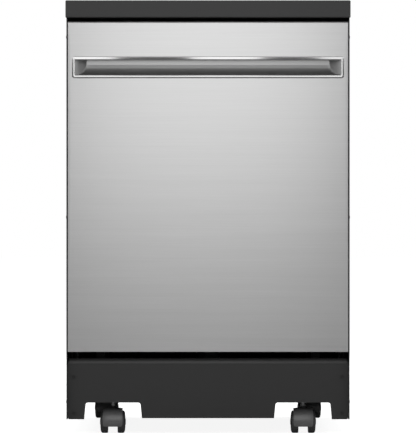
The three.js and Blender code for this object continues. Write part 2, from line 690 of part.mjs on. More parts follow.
// A round rod through some corners, each turned with its own bend radius.
function bentRod(corners, bends, radius, sides = 10) {
  const points = corners.map((p) => new THREE.Vector3(...p));
  const pieces = [];
  let last = points[0];
  for (let i = 1; i < points.length; i++) {
    const away = points[i].clone().sub(points[i - 1]).normalize();
    const bend = bends[i - 1] ?? 0;
    const stop = points[i].clone().addScaledVector(away, -bend);
    pieces.push(bar(last.toArray(), stop.clone().addScaledVector(away, JOIN).toArray(), radius, sides));
    if (i === points.length - 1) break;
    last = points[i + 1].clone().sub(points[i]).setLength(bend).add(points[i]);
    const arc = new THREE.QuadraticBezierCurve3(stop, points[i], last);
    const made = new THREE.ExtrudeGeometry(
      disc(0, 0, radius),
      { steps: 4, curveSegments: sides / 2, extrudePath: arc },
    );
    pieces.push(solid(made));
    last = last.clone().addScaledVector(points[i + 1].clone().sub(points[i]).normalize(), -JOIN);
  }
  return union(pieces);
}

// Heater rod: up through the floor behind the sump, round the floor, and down again.
function heatingElement() {
  const { radius, sideGap, frontGap, height, leg, bend, legBend, foot } = HEATER;
  const side = sideGap - tubHalf;
  const half = [
    [-leg, heaterBack, foot],
    [-leg, heaterBack, height],
    [side, heaterBack, height],
    [side, tubFront + frontGap, height],
  ];
  const corners = [...half, ...half.map(([x, y, z]) => [-x, y, z]).reverse()];
  return bentRod(corners, [legBend, bend, bend, bend, bend, legBend], radius);
}

function floatDome() {
  const at = (z) => [floatX, floatY, z];
  const seat = tubFloor + FLOAT.lift;
  const skirt = bar(at(seat), at(seat + FLOAT.height - 8), FLOAT.radius, 20);
  const crown = bar(at(seat + FLOAT.height - 8.5), at(seat + FLOAT.height), FLOAT.radius - 6, 20);
  const stem = bar(at(seat - FLOAT.stemLength), at(seat + 1), FLOAT.stemRadius, 12);
  return union([skirt, crown, stem]);
}

// Feed duct up the tub's back wall and along its ceiling to the top nozzle.
function sprayConduit() {
  const { width, depth, nozzleRadius, nozzle, portRadius } = CONDUIT;
  const half = width / 2;
  const wallFace = conduitFront + depth;
  const riser = block([-half, half], [conduitFront, wallFace], [tubFloor + FIT_GAP, conduitTop]);
  const ceiling = block([-half, half], [SUMP.y, wallFace], [conduitTop - depth, conduitTop]);
  const at = (z) => [SUMP.x, SUMP.y, z];
  const head = bar(at(conduitTop - depth - nozzle), at(conduitTop), nozzleRadius, 20);
  const port = bar([0, portFront, portHeight], [0, conduitFront + 1, portHeight], portRadius, 16);
  return union([riser, ceiling, head, port]);
}

function rightRackRail() {
  const { height, wall } = RAIL;
  const { front, back } = upperPlan;
  const channel = block([railInner, railOuter], [front, back], [railBottom, railBottom + height]);
  const slot = block(
    [railInner - 1, railOuter - wall],
    [front - 1, back + 1],
    [railBottom + wall, railBottom + height - wall],
  );
  return channel.subtract(slot);
}

// ---------------------------------------------------------------- spray arms

// A blade with rounded tips, a little wider at its hub, drawn in plan about the sump's axis.
function sprayBlade({ root, tip, thickness }, reach, bottom) {
  const shape = new THREE.Shape();
  shape.moveTo(reach - tip, -tip);
  shape.absarc(reach - tip, 0, tip, -Math.PI / 2, Math.PI / 2);
  shape.lineTo(root * 1.6, root).lineTo(-root * 1.6, root).lineTo(-reach + tip, tip);
  shape.absarc(-reach + tip, 0, tip, Math.PI / 2, (3 * Math.PI) / 2);
  shape.lineTo(-root * 1.6, -root).lineTo(root * 1.6, -root).closePath();
  return pullAlongZ(shape, [bottom, bottom + thickness]).translate([SUMP.x, SUMP.y, 0]);
}

function lowerSprayArm() {
  const at = (z) => [SUMP.x, SUMP.y, z];
  const hubBottom = SUMP.towerTop + 1;
  const hub = bar(at(hubBottom), at(hubBottom + LOWER_ARM.hubHeight), LOWER_ARM.hub, 24);
  const bore = bar(
    at(hubBottom - 1),
    at(SUMP.towerTop + SPIGOT_HEIGHT + 1.5),
    SUMP.spigotRadius + 2 * HOLE_GAP,
    16,
  );
  return sprayBlade(LOWER_ARM, lowerArmReach, lowerArmBottom).add(hub).subtract(bore);
}

function middleSprayArm() {
  const at = (z) => [SUMP.x, SUMP.y, z];
  const { hub, hubHeight } = MIDDLE_ARM;
  const bottom = middleArmBottom;
  const body = sprayBlade(MIDDLE_ARM, middleArmReach, bottom).add(
    bar(at(bottom), at(bottom + hubHeight), hub, 20),
  );
  return body.subtract(
    bar(at(bottom - 1), at(bottom + hubHeight + 1), MIDDLE_SPIGOT.radius + 2 * HOLE_GAP, 16),
  );
}

// ---------------------------------------------------------------- racks

// Even places from one end to the other, both ends included.
function spread(from, to, count) {
  return Array.from({ length: count + 1 }, (_, i) => from + ((to - from) * i) / count);
}

// Open-topped basket of square wires: a floor grid, uprights, and a middle and a top hoop.
function wireBasket({ halfWidth, front, back }, { bottom, height, columns, rows }) {
  const half = WIRE / 2;
  const across = [-halfWidth, halfWidth];
  const along = [front, back];
  const wires = [];
  const wireX = (y, z) => wires.push(
    block([across[0] - half, across[1] + half], [y - half, y + half], [z - half, z + half]),
  );
  const wireY = (x, z) => wires.push(
    block([x - half, x + half], [along[0] - half, along[1] + half], [z - half, z + half]),
  );
  const upright = (x, y) => wires.push(
    block([x - half, x + half], [y - half, y + half], [floor - half, rim + half]),
  );
  const floor = bottom + half;
  const rim = bottom + height - half;
  const xs = spread(...across, columns);
  const ys = spread(...along, rows);
  xs.forEach((x) => wireY(x, floor));
  ys.forEach((y) => wireX(y, floor));
  for (const z of [(floor + rim) / 2, rim]) {
    along.forEach((y) => wireX(y, z));
    across.forEach((x) => wireY(x, z));
  }
  xs.forEach((x) => along.forEach((y) => upright(x, y)));
  ys.slice(1, -1).forEach((y) => across.forEach((x) => upright(x, y)));
  return union(wires);
}

function lowerRack() {
  const { radius, width, frontGap, backGap } = RACK_WHEEL;
  const { halfWidth } = lowerPlan;
  const wheelZ = tubFloor + FIT_GAP + radius;
  const innerX = halfWidth + WIRE;
  const runners = [tubFront + frontGap, tubBack - backGap].flatMap((y) => {
    const wheel = bar([innerX, y, wheelZ], [innerX + width, y, wheelZ], radius, 18);
    const strut = block(
      [halfWidth - WIRE / 2, innerX + 1],
      [y - 5, y + 5],
      [wheelZ - 5, LOWER_RACK.bottom + WIRE],
    );
    return [wheel, strut].flatMap(bothSides);
  });
  return union([wireBasket(lowerPlan, LOWER_RACK), ...runners]);
}

// Upper rack with its side sliders, and the manifold that feeds the spray arm under it.
function upperRack() {
  const { halfWidth, front, back } = upperPlan;
  const { bottom, height } = UPPER_RACK;
  const sliderBottom = railBottom + (RAIL.height - SLIDER.height) / 2;
  const slider = block([railInner + 1, railInner + 1 + SLIDER.thickness], [front, back],
    [sliderBottom, sliderBottom + SLIDER.height]);
  const hangerZ = [bottom + height / 2, sliderBottom + SLIDER.height - 2];
  const hangers = [front + 60, back - 60].map((y) =>
    block([halfWidth - WIRE / 2, railInner + 2], [y - 12, y + 12], hangerZ));
  const at = (z) => [SUMP.x, SUMP.y, z];
  const armTop = middleArmBottom + MIDDLE_ARM.hubHeight;
  const flangeTop = middleArmBottom - 1;
  const duct = block([-14, 14], [SUMP.y - 16, portFront - 1], [armTop + 1, bottom + WIRE / 2]);
  const spigot = bar(at(flangeTop - 1), at(armTop + 2), MIDDLE_SPIGOT.radius, 16);
  const flange = bar(at(flangeTop - MIDDLE_SPIGOT.flangeHeight), at(flangeTop), MIDDLE_SPIGOT.flange, 16);
  return union(
    [wireBasket(upperPlan, UPPER_RACK), ...[slider, ...hangers].flatMap(bothSides), duct, spigot, flange],
  );
}

// Cutlery basket: one row of open cells with a carrying loop over the middle.
function cutleryBasket() {
  const { width, depth, height, wall, cells, frontGap, handle } = CUTLERY;
  const bottom = LOWER_RACK.bottom + WIRE + 1;
  const front = lowerPlan.front + frontGap;
  const x = [-width / 2, width / 2];
  const y = [front, front + depth];
  const body = block(x, y, [bottom, bottom + height]);
  const pitch = (width - wall) / cells;
  const hollows = Array.from({ length: cells }, (_, i) => {
    const left = x[0] + wall + i * pitch;
    return block(
      [left, left + pitch - wall],
      [y[0] + wall, y[1] - wall],
      [bottom + wall, bottom + height + 1],
    );
  });
  const middle = (y[0] + y[1]) / 2;
  const top = bottom + height;
  const foot = pitch + wall / 2;
  const loop = outline([
    [-foot, top - 2 * wall],
    [-foot, top + wall],
    [-foot + 2 * wall, top + handle],
    [foot - 2 * wall, top + handle],
    [foot, top + wall],
    [foot, top - 2 * wall],
    [foot - wall, top - 2 * wall],
    [foot - wall, top + wall],
    [foot - 3 * wall, top + handle - 2 * wall],
    [-foot + 3 * wall, top + handle - 2 * wall],
    [-foot + wall, top + wall],
    [-foot + wall, top - 2 * wall],
  ]);
  return cut(body, hollows).add(pullAlongY(loop, [middle - 4, middle + 4]));
}

// ---------------------------------------------------------------- door

// The handle's outline drawn in by a margin; its body behind the frame is drawn in by this much.
function handleRectangle(margin, radius) {
  const half = handleHalf - margin;
  return rectangle([-half, half], [handleBottom + margin, handleBottom + HANDLE.height - margin], radius);
}

const handleBodyMargin = HANDLE.lip - HANDLE.wall - HANDLE.lift / 3;

// Stainless pan: a face with rolled edges, folded sides and bottom, and a cut-out for the handle.
function doorOuterPanel() {
  const { sheet, foldRadius, bottom } = DOOR;
  // The pan's section up its face, drawn in by a margin: low edge, face and top edge.
  const section = (margin) => {
    const r = foldRadius - margin;
    const y = doorFront + foldRadius;
    const shape = new THREE.Shape().moveTo(y, bottom + margin);
    shape.absarc(y, bottom + foldRadius, r, -Math.PI / 2, Math.PI, true);
    shape.lineTo(doorFront + margin, doorTop - foldRadius);
    return shape.absarc(y, doorTop - foldRadius, r, Math.PI, Math.PI / 2, true);
  };
  const skin = section(0);
  skin.lineTo(fasciaFront, doorTop).lineTo(fasciaFront, bottom + sheet).lineTo(doorBack, bottom + sheet);
  skin.lineTo(doorBack, bottom).closePath();
  const room = section(sheet);
  room.lineTo(fasciaFront + 1, doorTop - sheet).lineTo(fasciaFront + 1, bottom + sheet).closePath();
  const hollow = pullAlongX(room, [sheet - doorHalf, doorHalf - sheet], 4);
  const foldTop = fasciaBottom - FIT_GAP;
  const sideFold = block([doorHalf - sheet, doorHalf], [fasciaFront - 1, doorBack], [bottom, foldTop]);
  const opening = pullAlongY(
    handleRectangle(handleBodyMargin - FIT_GAP, 3),
    [doorFront - 1, doorFront + sheet + 1],
    2,
  );
  return cut(
    union([pullAlongX(skin, [-doorHalf, doorHalf], 4), ...bothSides(sideFold)]),
    [hollow, opening],
  );
}

function buttonXs() {
  return Array.from({ length: BUTTON.count }, (_, i) => BUTTON.firstX + i * BUTTON.spacing);
}

// Control strip: a channel open downwards, with a window for each button and a gap for the latch.
function controlFascia() {
  const { wall } = FASCIA;
  const y = [fasciaFront + FIT_GAP, doorBack];
  const under = [fasciaBottom - 1, doorTop - wall];
  const shell = block([-doorHalf, doorHalf], y, [fasciaBottom, doorTop]);
  const hollow = block([wall - doorHalf, doorHalf - wall], [y[0] + wall, y[1] - wall], under);
  const latchGap = block([-2 * LATCH.halfWidth, 2 * LATCH.halfWidth], [y[1] - wall - 1, y[1] + 1], under);
  const half = { x: BUTTON.width / 2 + FIT_GAP, y: BUTTON.depth / 2 + FIT_GAP };
  const windows = buttonXs().map((x) =>
    block(
      [x - half.x, x + half.x],
      [fasciaMiddle - half.y, fasciaMiddle + half.y],
      [doorTop - wall - 1, doorTop + 1],
    ));
  return cut(shell, [hollow, latchGap, ...windows]);
}

function button(x) {
  const { width, depth, height, proud, cornerRadius } = BUTTON;
  const plan = rectangle(
    [x - width / 2, x + width / 2],
    [fasciaMiddle - depth / 2, fasciaMiddle + depth / 2],
    cornerRadius,
  );
  return pullAlongZ(plan, [doorTop + proud - height, doorTop + proud], 3);
}

// Pull pocket: a bright frame round a hollow that is deepest behind its upper lip.
function handlePocket() {
  const { lip, lift, depth, wall } = HANDLE;
  const seat = doorFront - FIT_GAP;
  const frame = pullAlongY(handleRectangle(0, HANDLE.cornerRadius), [seat - lift, seat], 4);
  const body = pullAlongY(handleRectangle(handleBodyMargin, 3), [seat - 0.5, doorFront + depth + wall], 2);
  const low = handleBottom + lip;
  const high = handleBottom + HANDLE.height - lip;
  const deep = doorFront + depth;
  const hollow = new THREE.Shape();
  hollow.moveTo(seat - lift - 1, low).lineTo(doorFront, low);
  hollow.bezierCurveTo(doorFront + 14, low + 2, deep, low + 10, deep, high - 9);
  hollow.bezierCurveTo(deep, high - 2, deep - 6, high + 1.5, deep - 12, high + 1.5);
  hollow.lineTo(doorFront + 4, high + 1.5).lineTo(doorFront + 2, high);
  hollow.lineTo(seat - lift - 1, high).closePath();
  const half = handleHalf - lip;
  return frame.add(body).subtract(pullAlongX(hollow, [-half, half], 6));
}

function controlBoard() {
  const { width, depth, height, belowTop, behind } = BOARD;
  const y = [doorBack - behind - depth, doorBack - behind];
  const z = [doorTop - belowTop - height + 7, doorTop - belowTop + 7];
  const shell = block([-width / 2, width / 2], y, [z[0] - 7, z[1] - 7]);
  const sockets = [-1.5, -0.5, 0.5, 1.5].map((step) => {
    const x = (step * width) / 4;
    return block([x - 14, x + 14], [y[0] + 4, y[1] - 4], [z[1] - 8, z[1]]);
  });
  return union([shell, ...sockets]);
}

// Inner door: a flat rim, a hollow plug towards the tub, and openings for dispenser, latch and hinges.
function doorLiner() {
  const { sheet, cornerRadius } = LINER;
  const half = doorHalf - HOLE_GAP;
  const rim = block([-half, half], [linerFront, linerBack], [DOOR.bottom + 1, doorTop - 1]);
  const plugShape = (margin) =>
    rectangle(
      [margin - plugHalf, plugHalf - margin],
      [plugZ[0] + margin, plugZ[1] - margin],
      cornerRadius - margin,
    );
  const plug = pullAlongY(plugShape(0), [linerBack - JOIN, plugBack]);
  const hollow = pullAlongY(plugShape(sheet), [linerFront - 1, plugBack - sheet]);
  const dispenserHalf = DISPENSER.width / 2 + FIT_GAP;
  const dispenserHole = block([-dispenserHalf, dispenserHalf], [linerFront - 1, plugBack + 1],
    [dispenserZ[0] - FIT_GAP, dispenserZ[1] + FIT_GAP]);
  const through = [linerFront - 1, linerBack + 1];
  const latchNotch = block([-LATCH.slotHalf, LATCH.slotHalf], through, [latchPivot.z - 6, doorTop]);
  const notchZ = [hingeZ - HINGE.lobe - 12, hingeZ + HINGE.tail + 1];
  const hingeNotch = block([hingeArmX - 5, doorHalf + 1], through, notchZ);
  return cut(rim.add(plug), [hollow, dispenserHole, latchNotch, ...bothSides(hingeNotch)]);
}

// Dispenser body with an open detergent cup and the seat of the rinse-aid cap.
function dispenser() {
  const half = DISPENSER.width / 2;
  const front = dispenserBack - DISPENSER.depth;
  return block([-half, half], [front, dispenserBack], dispenserZ).subtract(cupHollow());
}

const cupLeft = DISPENSER.rim - DISPENSER.width / 2;
const cupBottom = dispenserZ[1] - DISPENSER.cup - DISPENSER.rim + 3;

function cupHollow() {
  const { cup, cupDepth } = DISPENSER;
  const shape = rectangle([cupLeft, cupLeft + cup], [cupBottom, cupBottom + cup], 8);
  return pullAlongY(shape, [dispenserBack - cupDepth, dispenserBack + 1], 3);
}

function dispenserLid() {
  const { width, height, thickness, ridge } = DISPENSER_LID;
  const middleX = cupLeft + DISPENSER.cup / 2;
  const middleZ = cupBottom + DISPENSER.cup / 2;
  const front = dispenserBack + FIT_GAP;
  const plate = pullAlongY(
    rectangle([middleX - width / 2, middleX + width / 2], [middleZ - height / 2, middleZ + height / 2], 6),
    [front, front + thickness],
    3,
  );
  const grip = block([middleX - 18, middleX + 18], [front + thickness - 0.5, front + thickness + ridge],
    [middleZ - height / 2 + 8, middleZ - height / 2 + 12]);
  return plate.add(grip);
}

function rinseCap() {
  const { radius, thickness, grip, x, rise } = RINSE_CAP;
  const z = dispenserZ[0] + rise;
  const front = dispenserBack + FIT_GAP;
  const plate = bar([x, front, z], [x, front + thickness, z], radius, 24);
  const wing = block(
    [x - radius + 3, x + radius - 3],
    [front + thickness - 0.5, front + thickness + grip],
    [z - 2, z + 2],
  );
  return plate.add(wing);
}

// Hinge arm: bolted inside the door, with the pivot pin and the tail that the spring pulls on.
function rightHingeArm() {
  const { pinRadius, arm, tail, lobe } = HINGE;
  const front = doorFront + 6;
  const back = doorBack - 4;
  const shape = outline([
    [front, hingeZ - 12],
    [hingeY - 4, hingeZ - lobe],
    [hingeY + tail, hingeZ - 6],
    [hingeY + tail, hingeZ + 6],
    [hingeY + 2, hingeZ + lobe],
    [back, hingeZ + 24],
    [back, hingeZ + 110],
    [front, hingeZ + 110],
  ]);
  const pinX = [hingeArmX + arm - JOIN, hingeBracketX[1] + 0.5];
  const pin = bar([pinX[0], hingeY, hingeZ], [pinX[1], hingeY, hingeZ], pinRadius, 16);
  return pullAlongX(shape, [hingeArmX, hingeArmX + arm]).add(pin);
}

// Door spring, hooked between the hinge arm's tail and the base tray's anchor.
function rightDoorSpring() {
  const x = hingeArmX + HINGE.arm / 2;
  const top = new THREE.Vector3(x, hingeY + HINGE.tail, hingeZ);
  const low = new THREE.Vector3(x, springAnchorY, SPRING.anchorZ);
  const along = low.clone().sub(top).normalize();
  const start = top.addScaledVector(along, SPRING.clearance + SPRING.radius);
  const end = low.addScaledVector(along, -SPRING.clearance);
  return bar(start.toArray(), end.toArray(), SPRING.radius, 12);
}

// Latch hook, drawn released: its tooth is clear above the tub's strike.
function latchHook() {
  const { halfWidth, arm, tooth, lift, bite } = LATCH;
  const { y, z } = latchPivot;
  const under = z + lift;
  const shape = outline([
    [y - 5, z - 4],
    [y + 5, z - 4],
    [y + 8, under],
    [latchTip - tooth, under],
    [latchTip - tooth, under - bite],
    [latchTip, under - bite],
    [latchTip, under + arm],
    [y - 5, under + arm],
  ]);
  return pullAlongX(shape, [-halfWidth, halfWidth]);
}

// ---------------------------------------------------------------- casters

// One moulded wheel on the +X side of its caster, with a flat of its tread on the floor.
function casterWheel() {
  const { wheelRadius: r, gapHalf, treadHalf, outerHalf, axleRadius, wheelSides } = CASTER;
  const bore = axleRadius + HOLE_GAP;
  return turnAboutX(
    [
      [gapHalf, bore],
      [gapHalf, r],
      [treadHalf, r],
      [outerHalf - 2.9, r - 3],
      [outerHalf, r - 12],
      [outerHalf, bore],
    ],
    wheelSides,
  ).translate([0, -CASTER.trail, axleHeight]);
}

// Hood over both wheels, with the web and axle between them and the boss round the stem.
function casterHood() {
  const { trail, treadHalf, gapHalf, hoodBottom, boss, axleRadius, outerHalf, stemRadius, stemFoot } = CASTER;
  const sides = 28;
  const round = (radius, half) =>
    bar([-half, -trail, axleHeight], [half, -trail, axleHeight], radius, sides);
  const webHalf = gapHalf - 1;
  const shell = round(hoodOuter, treadHalf).subtract(round(hoodInner, treadHalf + 1));
  const below = block([-40, 40], [-trail - 40, 40], [-40, hoodBottom]);
  const openBack = block([-40, 40], [-trail + 17, 40], [-40, axleHeight + 14]);
  const web = round(hoodInner + 0.5, webHalf).subtract(below);
  const collar = bar([0, 0, stemFoot - 4], [0, 0, bossTop], boss, 20);
  const wheelRoom = bothSides(
    bar([webHalf + FIT_GAP, -trail, axleHeight], [40, -trail, axleHeight], hoodInner, sides),
  );
  const hub = union([cut(shell, [below, openBack]), web, cut(collar, wheelRoom)]);
  const axle = bar(
    [-outerHalf + 1, -trail, axleHeight],
    [outerHalf - 1, -trail, axleHeight],
    axleRadius,
    16,
  );
  const stemBore = bar([0, 0, stemFoot], [0, 0, bossTop + 1], stemRadius + FIT_GAP, 16);
  return hub.add(axle).subtract(stemBore);
}

function casterStem() {
  const { stemRadius, stemFoot, socketTop } = CASTER;
  return bar([0, 0, stemFoot + FIT_GAP], [0, 0, socketTop - 2], stemRadius, 14);
}

function addCaster(parent, { name, x, y }) {
  const caster = new THREE.Group();
  caster.position.set(x, y, 0);
  add(caster, `caster_${name}_stem`, casterStem(), FINISH.steel);
  add(caster, `caster_${name}_hood`, casterHood(), FINISH.darkPlastic);
  add(caster, `caster_${name}_wheel_right`, casterWheel(), FINISH.rubber);
  add(caster, `caster_${name}_wheel_left`, mirrored(casterWheel()), FINISH.rubber);
  parent.add(caster);
}

// ---------------------------------------------------------------- the assembly

const dishwasher = new THREE.Group();
dishwasher.name = "portable_dishwasher";

const cabinet = new THREE.Group();
add(cabinet, "worktop", worktop(), FINISH.worktop);
add(cabinet, "right_side_panel", rightSidePanel(), FINISH.blackPaint);
add(cabinet, "left_side_panel", mirrored(rightSidePanel()), FINISH.blackPaint);
add(cabinet, "rear_panel", rearPanel(), FINISH.blackPaint);
add(cabinet, "cord_gland", cordGland(), FINISH.darkPlastic);
add(cabinet, "base_tray", baseTray(), FINISH.galvanised);
add(cabinet, "toe_kick", toeKick(), FINISH.kickPlastic);
for (const { x, z } of screwPlaces()) {
  const name = `toe_kick_screw_${z === SCREW.upperZ ? "upper" : "lower"}_${x < 0 ? "left" : "right"}`;
  add(cabinet, name, kickScrew(), FINISH.darkPlastic).position.set(x, kickFront, z);
}

const washing = new THREE.Group();
add(washing, "tub", tub(), FINISH.stainless);
add(washing, "tub_gasket", tubGasket(), FINISH.rubber);
add(washing, "sump", sump(), FINISH.greyPlastic);
add(washing, "filter", filter(), FINISH.greyPlastic);
add(washing, "circulation_pump", circulationPump(), FINISH.darkPlastic);
add(washing, "drain_pump", drainPump(), FINISH.darkPlastic);
add(washing, "inlet_valve", inletValve(), FINISH.darkPlastic);
add(washing, "heating_element", heatingElement(), FINISH.steel);
add(washing, "float_dome", floatDome(), FINISH.greyPlastic);
add(washing, "spray_conduit", sprayConduit(), FINISH.greyPlastic);
add(washing, "right_rack_rail", rightRackRail(), FINISH.stainless);
add(washing, "left_rack_rail", mirrored(rightRackRail()), FINISH.stainless);
add(washing, "lower_spray_arm", lowerSprayArm(), FINISH.greyPlastic);
add(washing, "middle_spray_arm", middleSprayArm(), FINISH.greyPlastic);
add(washing, "lower_rack", lowerRack(), FINISH.wire);
add(washing, "upper_rack", upperRack(), FINISH.wire);
add(washing, "cutlery_basket", cutleryBasket(), FINISH.greyPlastic);

const door = new THREE.Group();
add(door, "door_outer_panel", doorOuterPanel(), FINISH.stainless);
add(door, "door_liner", doorLiner(), FINISH.stainless);
add(door, "handle_pocket", handlePocket(), FINISH.pocket);
add(door, "control_fascia", controlFascia(), FINISH.darkPlastic);
add(door, "control_board", controlBoard(), FINISH.greyPlastic);
["start_button", "cycle_button", "heated_dry_button"].forEach((name, i) => {
  add(door, name, button(buttonXs()[i]), FINISH.greyPlastic);
});
add(door, "dispenser", dispenser(), FINISH.greyPlastic);
add(door, "dispenser_lid", dispenserLid(), FINISH.greyPlastic);
add(door, "rinse_aid_cap", rinseCap(), FINISH.darkPlastic);
add(door, "latch_hook", latchHook(), FINISH.steel);
add(door, "right_hinge_arm", rightHingeArm(), FINISH.galvanised);
add(door, "left_hinge_arm", mirrored(rightHingeArm()), FINISH.galvanised);
add(cabinet, "right_door_spring", rightDoorSpring(), FINISH.steel);
add(cabinet, "left_door_spring", mirrored(rightDoorSpring()), FINISH.steel);

dishwasher.add(cabinet, washing, door);
casterPlaces().forEach((place) => addCaster(dishwasher, place));

export default dishwasher;
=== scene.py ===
"""Portable dishwasher on casters: the finished pieces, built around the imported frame."""

import logging
import math
from collections.abc import Iterable, Sequence
from dataclasses import dataclass, field
from enum import Enum

import bmesh
import bpy
from mathutils import Matrix, Vector


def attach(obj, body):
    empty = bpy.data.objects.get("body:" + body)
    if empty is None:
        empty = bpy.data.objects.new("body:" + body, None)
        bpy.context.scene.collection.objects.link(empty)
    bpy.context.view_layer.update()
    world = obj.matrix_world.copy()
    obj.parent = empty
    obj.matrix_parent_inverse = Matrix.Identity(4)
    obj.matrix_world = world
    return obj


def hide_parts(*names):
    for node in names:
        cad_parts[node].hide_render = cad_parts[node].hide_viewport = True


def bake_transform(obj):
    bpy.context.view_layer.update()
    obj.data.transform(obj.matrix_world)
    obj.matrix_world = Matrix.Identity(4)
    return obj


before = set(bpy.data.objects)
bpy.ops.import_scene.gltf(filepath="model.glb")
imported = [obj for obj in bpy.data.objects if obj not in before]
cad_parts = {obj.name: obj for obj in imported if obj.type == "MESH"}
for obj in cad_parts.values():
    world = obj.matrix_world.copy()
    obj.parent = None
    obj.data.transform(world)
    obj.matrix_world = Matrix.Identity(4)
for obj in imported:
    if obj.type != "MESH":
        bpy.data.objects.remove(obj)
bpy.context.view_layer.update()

# Sizes are in millimetres. The spray line is the upright line that both spray arms turn about.
MM = 0.001
SPRAY_LINE = (0.0, -5.0)
log = logging.getLogger("dishwasher")

Flat = tuple[float, float]
Span = tuple[float, float]
Solid = tuple[float, float, float]
Stack = list[tuple[list[Flat], float]]
Colour = tuple[float, float, float, float]
Socket = bpy.types.NodeSocket


# ---------------------------------------------------------------- finishes


class Grain(Enum):
    """How a surface was made, with the size of its grain along X, Y and Z in marks per metre."""

    BRUSHED = (5.0, 5.0, 900.0)
    UPRIGHT = (900.0, 900.0, 6.0)
    SATIN = (260.0, 260.0, 260.0)
    MOULDED = (1400.0, 1400.0, 1400.0)
    PAINTED = (650.0, 650.0, 650.0)
    LAMINATE = (950.0, 950.0, 950.0)
    SPANGLED = (70.0, 70.0, 70.0)
    WIRE = (420.0, 420.0, 420.0)
    RUBBER = (800.0, 800.0, 800.0)

    def broad(self) -> list[float]:
        """Gives the size of the slow unevenness that goes with the grain."""
        return [marks * 0.06 + 2.0 for marks in self.value]


# The middle of a noise value that counts, how fine and broad noise mix, and where edges are rubbed.
NOISE_MIDDLE = (0.3, 0.7)
NOISE_COLOURS = (0.32, 0.68)
FINE_DETAIL, BROAD_DETAIL = 4.0, 3.0
FINE_SHARE, BROAD_SHARE = 0.6, 0.4
EDGE_BEND = (0.53, 0.62)
RUBBED = 2.5


def tone(level: float, warmth: float = 0.0) -> Solid:
    """Gives a near-grey colour.

    Args:
        level: Its brightness as seen on a screen, 0 to 255.
        warmth: How far it leans to red, or to blue where negative.

    Returns:
        The colour in linear light.
    """
    base = level / 255
    linear = base / 12.92 if base < 0.04045 else ((base + 0.055) / 1.055) ** 2.4
    return (linear * (1 + warmth), linear, linear * (1 - warmth))


@dataclass(frozen=True)
class Finish:
    """One surface finish and the record's slot that it belongs to."""

    name: str
    slot: str
    grain: Grain
    colour: Solid
    roughness: float
    metallic: float = 0.0
    shade: float = 0.06
    uneven: float = 0.05
    depth: float = 0.02
    stretch: float = 0.0
    wear: float = 0.0
    gloss: float = 0.5

    def material(self) -> bpy.types.Material:
        """Builds the finish's node material, or finds the one already built.

        Returns:
            The material.
        """
        found = bpy.data.materials.get(self.name)
        if found:
            return found
        made = bpy.data.materials.new(self.name)
        paint = fresh_painter(made)
        shader = paint.add("ShaderNodeBsdfPrincipled")
        shader.inputs["Metallic"].default_value = self.metallic
        shader.inputs["Anisotropic"].default_value = self.stretch
        shader.inputs["Specular IOR Level"].default_value = self.gloss
        fine = paint.noise(self.grain.value, FINE_DETAIL)
        broad = paint.noise(self.grain.broad(), BROAD_DETAIL)
        both = paint.reckon("MULTIPLY_ADD", broad, BROAD_SHARE, paint.reckon("MULTIPLY", fine, FINE_SHARE))
        colour = paint.between(both, self.darker(self.shade), self.darker(-self.shade))
        if self.wear:
            colour = paint.worn(colour, self.darker(-RUBBED), self.wear)
        paint.link(colour, shader.inputs["Base Color"])
        low, high = self.roughness - self.uneven, self.roughness + self.uneven
        paint.link(paint.spread(both, NOISE_MIDDLE, (low, high)), shader.inputs["Roughness"])
        if self.stretch:
            tangent = paint.add("ShaderNodeTangent")
            tangent.direction_type = "RADIAL"
            tangent.axis = "X"
            paint.link(tangent.outputs[0], shader.inputs["Tangent"])
        bump = paint.add("ShaderNodeBump")
        bump.inputs["Strength"].default_value = 1.0
        bump.inputs["Distance"].default_value = self.depth * MM
        paint.link(fine, bump.inputs["Height"])
        paint.link(bump.outputs[0], shader.inputs["Normal"])
        output = paint.add("ShaderNodeOutputMaterial")
        paint.link(shader.outputs[0], output.inputs["Surface"])
        return made

    def darker(self, share: float) -> Colour:
        """Gives the colour darkened by a share of itself."""
        return (*(c * (1 - share) for c in self.colour), 1.0)


